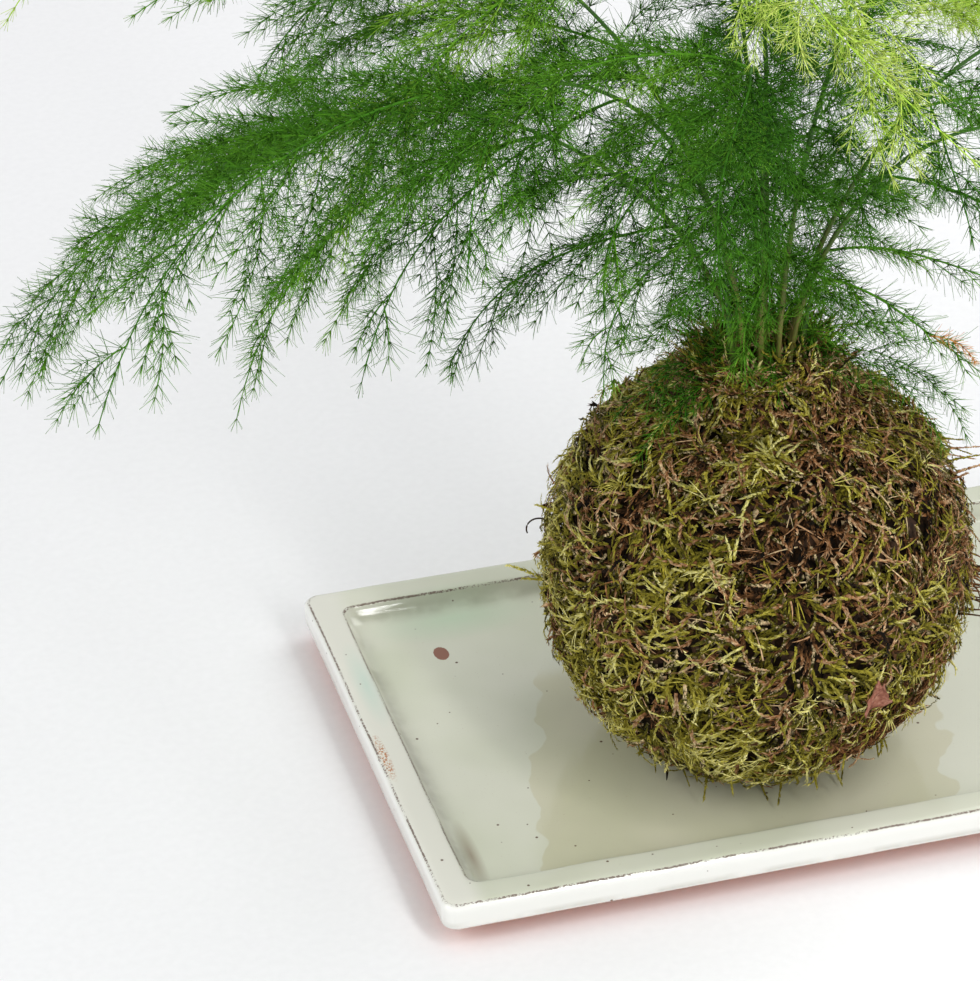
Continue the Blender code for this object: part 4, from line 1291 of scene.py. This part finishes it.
# How a living frond differs from its plain one: the stretch of its length; how far its tip swings to one side, how
# far its tip drops and how far its middle bows, in mm; its breadth, the sag of its sprigs, and its youth.
MANNERS = {
    "frond_01a": {"bend": 4, "drop": 15}, "frond_01b": {"stretch": 0.98, "bend": 4, "drop": 12, "sag": 1.1},
    "frond_01c": {"sag": 1.1}, "frond_02a": {"stretch": 0.84, "bend": -24, "drop": -8, "youth": 0.60},
    "frond_03a": {"bend": -10, "youth": 0.24}, "frond_03b": {"bend": -6, "sag": 1.1}, "frond_03c": {"sag": 1.0},
    "frond_04a": {"youth": 0.14}, "frond_05a": {"stretch": 0.95, "bend": -6, "youth": 0.14},
    "frond_04b": {"youth": 0.16}, "frond_05b": {"stretch": 0.8, "bend": -4, "youth": 0.16},
    "frond_06a": {"bend": 5, "breadth": 0.8}, "frond_06b": {"bend": 5, "breadth": 0.7},
    "frond_06c": {"bend": 5, "breadth": 0.7}, "frond_07a": {"bend": 5, "breadth": 0.7},
    "frond_07b": {"bend": 5, "breadth": 0.6}, "frond_07c": {"bend": 5, "breadth": 0.6},
    "frond_08a": {"bend": 6, "breadth": 0.8, "youth": 0.62}, "frond_08b": {"sag": 0.15, "youth": 0.80},
    "frond_leader_a": {"bend": -12},
    "frond_leader_c": {"bend": 3, "bow": -22, "breadth": 0.98, "sag": 0.12, "youth": 0.80},
    "side_frond_09_66": {"youth": 0.5}, "side_frond_03_178": {"youth": 0.22},
    "side_frond_02_176": {"bend": 0, "breadth": 0.6, "youth": 0.75},
    "side_frond_00_206": {"stretch": 1.1, "bend": 0, "drop": 30, "breadth": 0.72, "youth": 0.44},
}

labels = list(CURVES)
fronds = [(f"frond_{label}{letter}", label, cane[0], *row)
          for label, cane in zip(labels, CANES) for letter, row in zip("abc", cane[3])]
fronds += [(f"frond_leader_{letter}", "leader", degrees, share, *row)
           for letter, (share, degrees, *row) in zip("abc", LEADER_FRONDS)]
fronds += [(f"side_frond_{number:02d}_{degrees}", labels[number - 1], degrees, share, *row)
           for number, share, degrees, *row in SIDE_FRONDS]
print(len(fronds), "fronds, of which", len(MANNERS), "have manners of their own")

# %% [markdown]
# ## The foliage: seat and grow them
#
# A frond starts on its cane's side, partly sunk in it, or carries on from its tip. Those with no manners of their
# own still differ in swing and youth, by a wave that runs through the list.

# %% Make every frond
SEAT_DEPTH = 0.6


def seat_on(label, share, degrees, slope_degrees):
    """Where a frond starts: on the cane's side, or on its end if the frond carries on from the tip."""
    direction, point = aimed(degrees, slope_degrees), CURVES[label](share)
    tangent = unit(point - CURVES[label](share - 0.01))
    if share == 1.0:
        return point + tangent * GAP
    return point + unit(direction - tangent * direction.dot(tangent)) * cane_radius(share) * SEAT_DEPTH


for number, (name, label, degrees, share, length, first_slope, last_slope) in enumerate(fronds):
    manner = {"stretch": 1.0, "bend": 7 * math.sin(number * 1.7), "drop": 0, "bow": 0, "breadth": 1, "sag": 0.45,
              "youth": 0.26 + 0.10 * math.sin(number * 2.4), **MANNERS.get(name, {})}
    solid = grow_frond(seat_on(label, share, degrees, first_slope), degrees, length, first_slope, last_slope,
                       100 + number, **manner)
    add_foliage(name + "_foliage", solid, [name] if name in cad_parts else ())
print("fronds:", sum(count for name, count in triangle_count.items() if name.endswith("_foliage")), "triangles")

# %% [markdown]
# ## The foliage: sprays at the heart
#
# Between the fronds the canes carry sprigs of their own, turning round the cane as they climb, so that no two in
# a row point the same way. They are short and airy on the two canes on the right.

# %% Clothe the canes in sprays
AIRY_CANES, BARE_FOOTED_CANES = (6, 7), (3, 4, 5)
SPRIG_TURN = 2.4


def add_sprays(name, curve, shares, shortest, longest, youth, seed, sag=0.5, climb=0.35):
    """Sprigs that leave a cane itself, from shortest to longest in mm."""
    rng = np.random.default_rng(seed)
    roots = curve(shares)
    rise = unit(curve(shares + 0.01) - roots)
    across, over = frame_of(rise)
    spin = np.arange(len(shares)) * SPRIG_TURN + rng.uniform(0, math.tau) + rng.normal(0, 0.3, len(shares))
    away = turned_way(across, over, spin)
    first = unit(away + rise * climb)
    last = unit(away * 0.9 + UP * rng.uniform(-1.0, 0.3, len(shares))[:, None] * sag * 2)
    lengths = rng.uniform(shortest, longest, len(shares)) * MM
    tones = youth + rng.normal(0, 0.05, len(shares))
    blade_up = unit(np.cross(first, np.cross(UP, first)))
    sprigs = bent(roots, first, last, lengths, SPRIG_STATIONS)
    add_foliage(name, join(leafy(sprigs, lengths, tones, blade_up, sag, rng)))


for number, label in enumerate(labels[:-1], 1):
    airy = number in AIRY_CANES
    shares = np.linspace(0.24 if number in BARE_FOOTED_CANES else 0.10, 0.96, 16 if airy else 20)
    youth = 0.30 if airy else 0.18 + 0.04 * (number % 3)
    add_sprays(f"cane_{label}_sprays", CURVES[label], shares, *((12, 22) if airy else (18, 36)), youth, 200 + number)
add_sprays("cane_leader_sprays", leader_point, np.linspace(0.08, 0.94, 26), 20, 38, 0.22, 220)
print("sprays on", len(labels), "canes")

# %% [markdown]
# ## The foliage: sprays at the foot
#
# Short low sprays spring from the crown and lie over the shoulder of the ball. Two on the right fall steeply, and
# the rest gently. Fine sprigs stand round the feet of the canes.

# %% Spread the lowest sprays
# Each row: degrees round, length in mm, and how steeply it falls.
SHOULDER_SPRAYS = ((204, 40, 0.85), (184, 38, 0.85), (262, 14, 0.85), (328, 54, 2.4), (347, 62, 2.4), (8, 44, 0.85),
                   (40, 42, 0.85), (75, 44, 0.85), (110, 42, 0.85), (150, 44, 0.85))

rng = np.random.default_rng(230)
degrees, lengths, fall = np.array(SHOULDER_SPRAYS).T
away, lengths = np.array([outward(way) for way in degrees]), lengths * MM
roots = BALL_FOOT + away * CANE_RING + UP * (CANE_BASE_Z + rng.uniform(1, 6, len(away))[:, None] * MM)
sprays = bent(roots, unit(away + UP * 0.15), unit(away * 0.8 - UP * fall[:, None]), lengths, SPRIG_STATIONS)
tones = rng.uniform(0.15, 0.4, len(away))
add_foliage("shoulder_sprays", join(leafy(sprays, lengths, tones, np.tile(UP, (len(away), 1)), 0.6, rng)))

for number, label in enumerate(labels[:-1], 1):
    add_sprays(f"cane_{label}_foot_sprays", CURVES[label], np.linspace(0.02, 0.20, 4), 10, 18, 0.38, 240 + number,
               sag=0.4, climb=0.8)
print("sprays:", sum(count for name, count in triangle_count.items() if name.endswith("_sprays")), "triangles")

# %% [markdown]
# ## The soil
#
# The soil core sits out of sight inside the moss, so it keeps its CAD solid and takes the colour of dark clay
# soil: crumbs of about 3 mm, with the grain of grit between them.

# %% Colour the soil
soil, tree, shader, where = new_material("akadama_clay_soil", Roughness=0.95)
crumbs = add(tree, "TexVoronoi", {"Vector": where, "Scale": 1 / (3 * MM)})
grit = add(tree, "TexNoise", {"Vector": where, "Scale": 1 / (0.8 * MM), "Detail": 4.0})
shade = add(tree, "Math", {0: crumbs, 1: grit}, **TIMES)
finish(shader, Base_Color=add(tree, "ValToRGB", {"Fac": shade}, stops=((0.1, "2A1C12"), (0.5, "5A3F28"))),
       Normal=add(tree, "Bump", {"Height": crumbs, "Strength": 0.8, "Distance": 0.6 * MM}))
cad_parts["soil_core"].material_slots[0].material = soil
print("soil core in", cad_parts["soil_core"].active_material.name)

# %% [markdown]
# ## The crown: fibrous bark
#
# All canes rise from one woody crown, a knob of brown fibre. Its bark is dry and matt, with fibres 0.9 mm apart
# that run upwards, so the noise is drawn out along the height.

# %% Colour the crown
bark, tree, shader, where = new_material("fibrous_crown_bark", Roughness=0.85)
long_way = add(tree, "Mapping", {"Vector": where, "Scale": (1.0, 1.0, 0.25)})
strands = add(tree, "TexNoise", {"Vector": long_way, "Scale": 1 / (0.9 * MM), "Detail": 4.0})
browns = ((0.3, "3B2A1B"), (0.55, "7A5B3C"), (0.75, "A58A5E"))
finish(shader, Base_Color=add(tree, "ValToRGB", {"Fac": strands}, stops=browns),
       Normal=add(tree, "Bump", {"Height": strands, "Strength": 0.8, "Distance": 0.4 * MM}))
print("bark browns:", len(browns))

# %% [markdown]
# ## The crown: its knob
#
# The knob could be sculpted, but moss hides most of it. So it is turned from a profile, like the tray, and each
# ring is pushed in and out a little so that it isn't as round as a bead.

# %% Turn the knob
CROWN_LOW, CROWN_HIGH = np.array(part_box("root_crown"))
CROWN_RADIUS, CROWN_HEIGHT = (CROWN_HIGH[0] - CROWN_LOW[0]) / 2, CROWN_HIGH[2] - CROWN_LOW[2]
CROWN_FOOT = BALL_FOOT + UP * CROWN_LOW[2]
CROWN_AROUND = 72

# Each row: shares of the crown's radius and of its height.
CROWN_PROFILE = ((0.55, 0.0), (0.85, 0.06), (0.95, 0.2), (0.94, 0.4), (0.90, 0.6), (0.86, 0.78), (0.74, 0.9),
                 (0.5, 0.95), (0.25, 0.93))

around = np.array([outward(degrees) for degrees in np.arange(CROWN_AROUND) * 360 / CROWN_AROUND])
rings = []
for radius_share, height_share in CROWN_PROFILE:
    ring = CROWN_FOOT + around * CROWN_RADIUS * radius_share + UP * CROWN_HEIGHT * height_share
    push = 1 + 0.05 * ripple(ring * (1, 1, 0.3), 3.0 * MM, 61)
    ring[:, :2] = BALL_FOOT[:2] + (ring[:, :2] - BALL_FOOT[:2]) * push[:, None]
    rings.append(ring)
knob_points, knob_triangles = turned(rings)
knob = (knob_points, knob_triangles, np.full(len(knob_points), 0.3))
print("knob, mm:", np.round(np.ptp(knob_points, axis=0) / MM, 1))

# %% [markdown]
# ## The crown: stubs and scales
#
# Older canes were cut off and left stubs in the crown, and papery scales sheath its upper half. The stubs are short
# stems, and the scales are three-sided points like moss leaves, but broader.

# %% Add stubs and scales
STUBS, SCALES = 6, 90

rng = np.random.default_rng(62)
away = np.array([outward(degrees) for degrees in 25 + np.arange(STUBS) * 360 / STUBS])
foot = CROWN_FOOT + away * 4.2 * MM + UP * CROWN_HEIGHT * 0.85
top = foot + unit(away * 0.3 + UP) * rng.uniform(3, 6, (STUBS, 1)) * MM
stubs = stems(np.linspace(foot, top, 4, axis=1), np.array((1.25, 1.1, 1.05, 1.0))[None] * MM,
              rng.uniform(0.4, 0.9, (STUBS, 1)), sides=9)

spin = rng.uniform(0, math.tau, SCALES)
away = np.column_stack([np.cos(spin), np.sin(spin), np.zeros(SCALES)])
foot = CROWN_FOOT + away * CROWN_RADIUS * 0.86 + UP * CROWN_HEIGHT * rng.uniform(0.45, 0.85, (SCALES, 1))
way = unit(UP + away * rng.uniform(-0.1, 0.7, (SCALES, 1)))
lengths, half_widths = rng.uniform(3, 7, SCALES) * MM, rng.uniform(0.3, 0.8, SCALES) * MM
tones = rng.uniform(0.3, 1.0, SCALES)
scales = spikes(foot, way, lengths, half_widths, tones, tones, away, 0.35)
add_piece("crown_bark", join([knob, stubs, scales]), bark, "woody_crown", ["root_crown"])
print("crown:", triangle_count["crown_bark"], "triangles")

# %% [markdown]
# ## The young shoots
#
# Two young shoots stand between the canes. They are like asparagus: a soft green spear with a scale at each node,
# so they are drawn as a stem that swells at each node and has a pair of points there. Their skin is the canes'.

# %% Build the young shoots
SPEAR_STATIONS, SPEAR_NODES = 26, 5
SPEAR_RADIUS = 0.9

share = np.linspace(0, 1, SPEAR_STATIONS)
radii = SPEAR_RADIUS * (1 - share ** 2.2) + 0.12 + 0.12 * (np.arange(SPEAR_STATIONS) % SPEAR_NODES == 0)
scale_share = np.repeat(share[::SPEAR_NODES][:-1], 2)
side = np.array((0.4, 0.9, 0.0)) * -left_and_right(np.arange(len(scale_share)))
seat_radius = (SPEAR_RADIUS * (1 - scale_share ** 2.2) * 0.8 * MM)[:, None]
for node in ("young_shoot_1", "young_shoot_2"):
    low, high = np.array(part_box(node))
    middle = (low + high) / 2
    lean = np.sign(middle[0] - BALL_FOOT[0])
    near_x, far_x = (low[0], high[0]) if lean > 0 else (high[0], low[0])
    foot = np.array((near_x + lean * SPEAR_RADIUS * MM, middle[1], low[2]))
    rise = np.array((far_x - lean * 0.3 * MM, middle[1], high[2])) - foot
    spear = stems((foot + rise * share[:, None])[None], radii[None] * MM, (0.25 + 0.6 * share)[None], sides=10)
    seats = foot + rise * scale_share[:, None] + side * seat_radius
    scales = spikes(seats, unit(UP + side * 0.35), np.full(len(side), 2.4 * MM), 0.55 * MM, 0.02, 0.3, side, 0.3)
    add_piece(node + "_spear", join([spear, scales]), cane_bark, "young_shoot", [node])
    print(node, "-", round(np.linalg.norm(rise) / MM, 1), "mm long")

# %% [markdown]
# ## The pins
#
# The moss is held on by thin dark steel pins, and the points of two show under the ball. The steel was blackened,
# so it is a metal with a dull, slightly rusty skin. A cone would be too straight, so each is a stem that bends.

# %% Add the pins
PIN_STATIONS = 8

steel, tree, shader, where = new_material("blackened_steel_pin", Metallic=1.0, Roughness=0.45)
rust = add(tree, "TexNoise", {"Vector": where, "Scale": 1 / (0.7 * MM), "Detail": 3.0})
finish(shader, Base_Color=add(tree, "ValToRGB", {"Fac": rust}, stops=((0.4, "1C1A18"), (0.7, "4A3226"))))
share = np.linspace(0, 1, PIN_STATIONS)
for number in (1, 2):
    low, high = np.array(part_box(f"moss_pin_{number}"))
    middle = (low + high) / 2 * (1, 1, 0)
    path = middle + np.outer(np.sin(share * 5), (0.08 * MM, 0, 0)) + UP * (low + (high - low) * share[:, None])[:, 2:]
    radii = (0.12 + 0.42 * share ** 0.6)[None] * MM
    add_piece(f"steel_pin_{number}", stems(path[None], radii, 0.5, sides=8), steel, "dark_pin",
              [f"moss_pin_{number}"])
print("pins:", round(2 * radii.max() / MM, 2), "mm thick")

# %% [markdown]
# ## The leaf scrap
#
# A scrap of dry leaf, dusty rose and about 10 mm long, is caught low on the right. It is a thin curled sheet with
# a torn edge and raised veins, about 1 mm apart. The sheet is drawn as a grid, copied at its own thickness behind
# itself, and closed along its edge.

# %% Add the leaf scrap
SCRAP_STEPS = 14
SCRAP_THICKNESS = 0.25 * MM
SCRAP_SIZE = 1.4

dead_leaf, tree, shader, where = new_material("dry_leaf_scrap", Roughness=0.7, Specular_IOR_Level=0.3)
mottle = add(tree, "TexNoise", {"Vector": where, "Scale": 1 / (1.3 * MM), "Detail": 4.0})
veins = add(tree, "TexVoronoi", {"Vector": where, "Scale": 1 / (1.0 * MM)}, feature="DISTANCE_TO_EDGE")
roses = ((0.3, "703E2E"), (0.5, "945E4A"), (0.72, "B0806A"))
finish(shader, Base_Color=add(tree, "ValToRGB", {"Fac": mottle}, stops=roses),
       Normal=add(tree, "Bump", {"Height": veins, "Strength": 0.5, "Distance": 0.15 * MM}))

scrap_out = aimed(-75, -9)
scrap_across, scrap_down = frame_of(scrap_out)
u, v = np.meshgrid(np.linspace(-1, 1, SCRAP_STEPS), np.linspace(-1, 1, SCRAP_STEPS))
wide = (u + 0.35 * (v + 1)) * (2.6 - 2.2 * v) * (1 + 0.08 * np.sin(v * 9 + 1)) * 0.8
tall = v * 3.2 + 0.5 * np.sin(u * 5) * (v > 0)
curl = 0.9 * u ** 2 - 0.5 * v * u + 0.35 * np.sin(u * 4 + v * 3)
sheet = wide[..., None] * scrap_across - tall[..., None] * scrap_down + curl[..., None] * scrap_out
sheet = skin(scrap_out) + scrap_out * 0.9 * MM + sheet * SCRAP_SIZE * MM
sheet_points = np.stack([sheet, sheet - scrap_out * SCRAP_THICKNESS]).reshape(-1, 3)
index = np.arange(SCRAP_STEPS ** 2).reshape(SCRAP_STEPS, SCRAP_STEPS)
near, near_next, far, far_next = index[:-1, :-1], index[:-1, 1:], index[1:, :-1], index[1:, 1:]
front = np.stack([near, near_next, far_next, near, far_next, far], -1).reshape(-1, 3)
border = np.concatenate([index[0], index[1:, -1], index[-1, -2::-1], index[-2:0:-1, 0]])
torn = walls(np.stack([border, border + index.size]))[:, ::-1]
sheet_triangles = np.concatenate([front, (front + index.size)[:, ::-1], torn])
add_piece("dry_leaf_scrap", (sheet_points, sheet_triangles, np.full(len(sheet_points), 0.5)), dead_leaf, "dead_leaf",
          ["leaf_scrap"])
print("leaf scrap, mm:", np.round(np.ptp(sheet_points, axis=0) / MM, 1))

# %% [markdown]
# ## The dead sprig
#
# One sprig on a low right frond has died. It hangs two thirds of the way along that frond. Dry needles lose their
# green and some of their wax, so they are orange and a little rougher. It is a stem with whorls, like any twig.

# %% Add the dead sprig
DEAD_LENGTH, DEAD_STATIONS = 15 * MM, 9
DEAD_CANE, DEAD_FROM = 6, 18

withered, tree, shader, where = new_material("withered_fern_needle", Roughness=0.6, Specular_IOR_Level=0.25)
fleck = add(tree, "TexNoise", {"Vector": where, "Scale": 1 / (2 * MM), "Detail": 2.0})
finish(shader, Base_Color=toned(tree, fleck, ((0.5, "B96A2A"), (1.1, "E8A45C"))))

degrees, _, _, cane_fronds = CANES[DEAD_CANE - 1]
share, length, first_slope, last_slope = cane_fronds[2]
start = seat_on(labels[DEAD_CANE - 1], share, degrees, 0)
start = frond_path(start, degrees, length * MM, first_slope, last_slope)[DEAD_FROM]
dead_path = bent(start[None], unit(np.array([(0.5, -0.3, 0.1)])), unit(np.array([(0.4, -0.2, -0.9)])),
                 np.array([DEAD_LENGTH]), DEAD_STATIONS)
rng = np.random.default_rng(63)
dead_stem = stems(dead_path, tapering(0.25, 0.12, DEAD_STATIONS), 0.4)
dead_needles = whorls(dead_path, np.array([DEAD_LENGTH]), 1.0 * MM, 1.3 * MM, np.array([0.4]), rng, 3.6 * MM)
add_piece("withered_sprig", join([dead_stem, dead_needles]), withered, "fern_foliage")
print("all", len(triangle_count), "pieces:", sum(triangle_count.values()), "triangles")
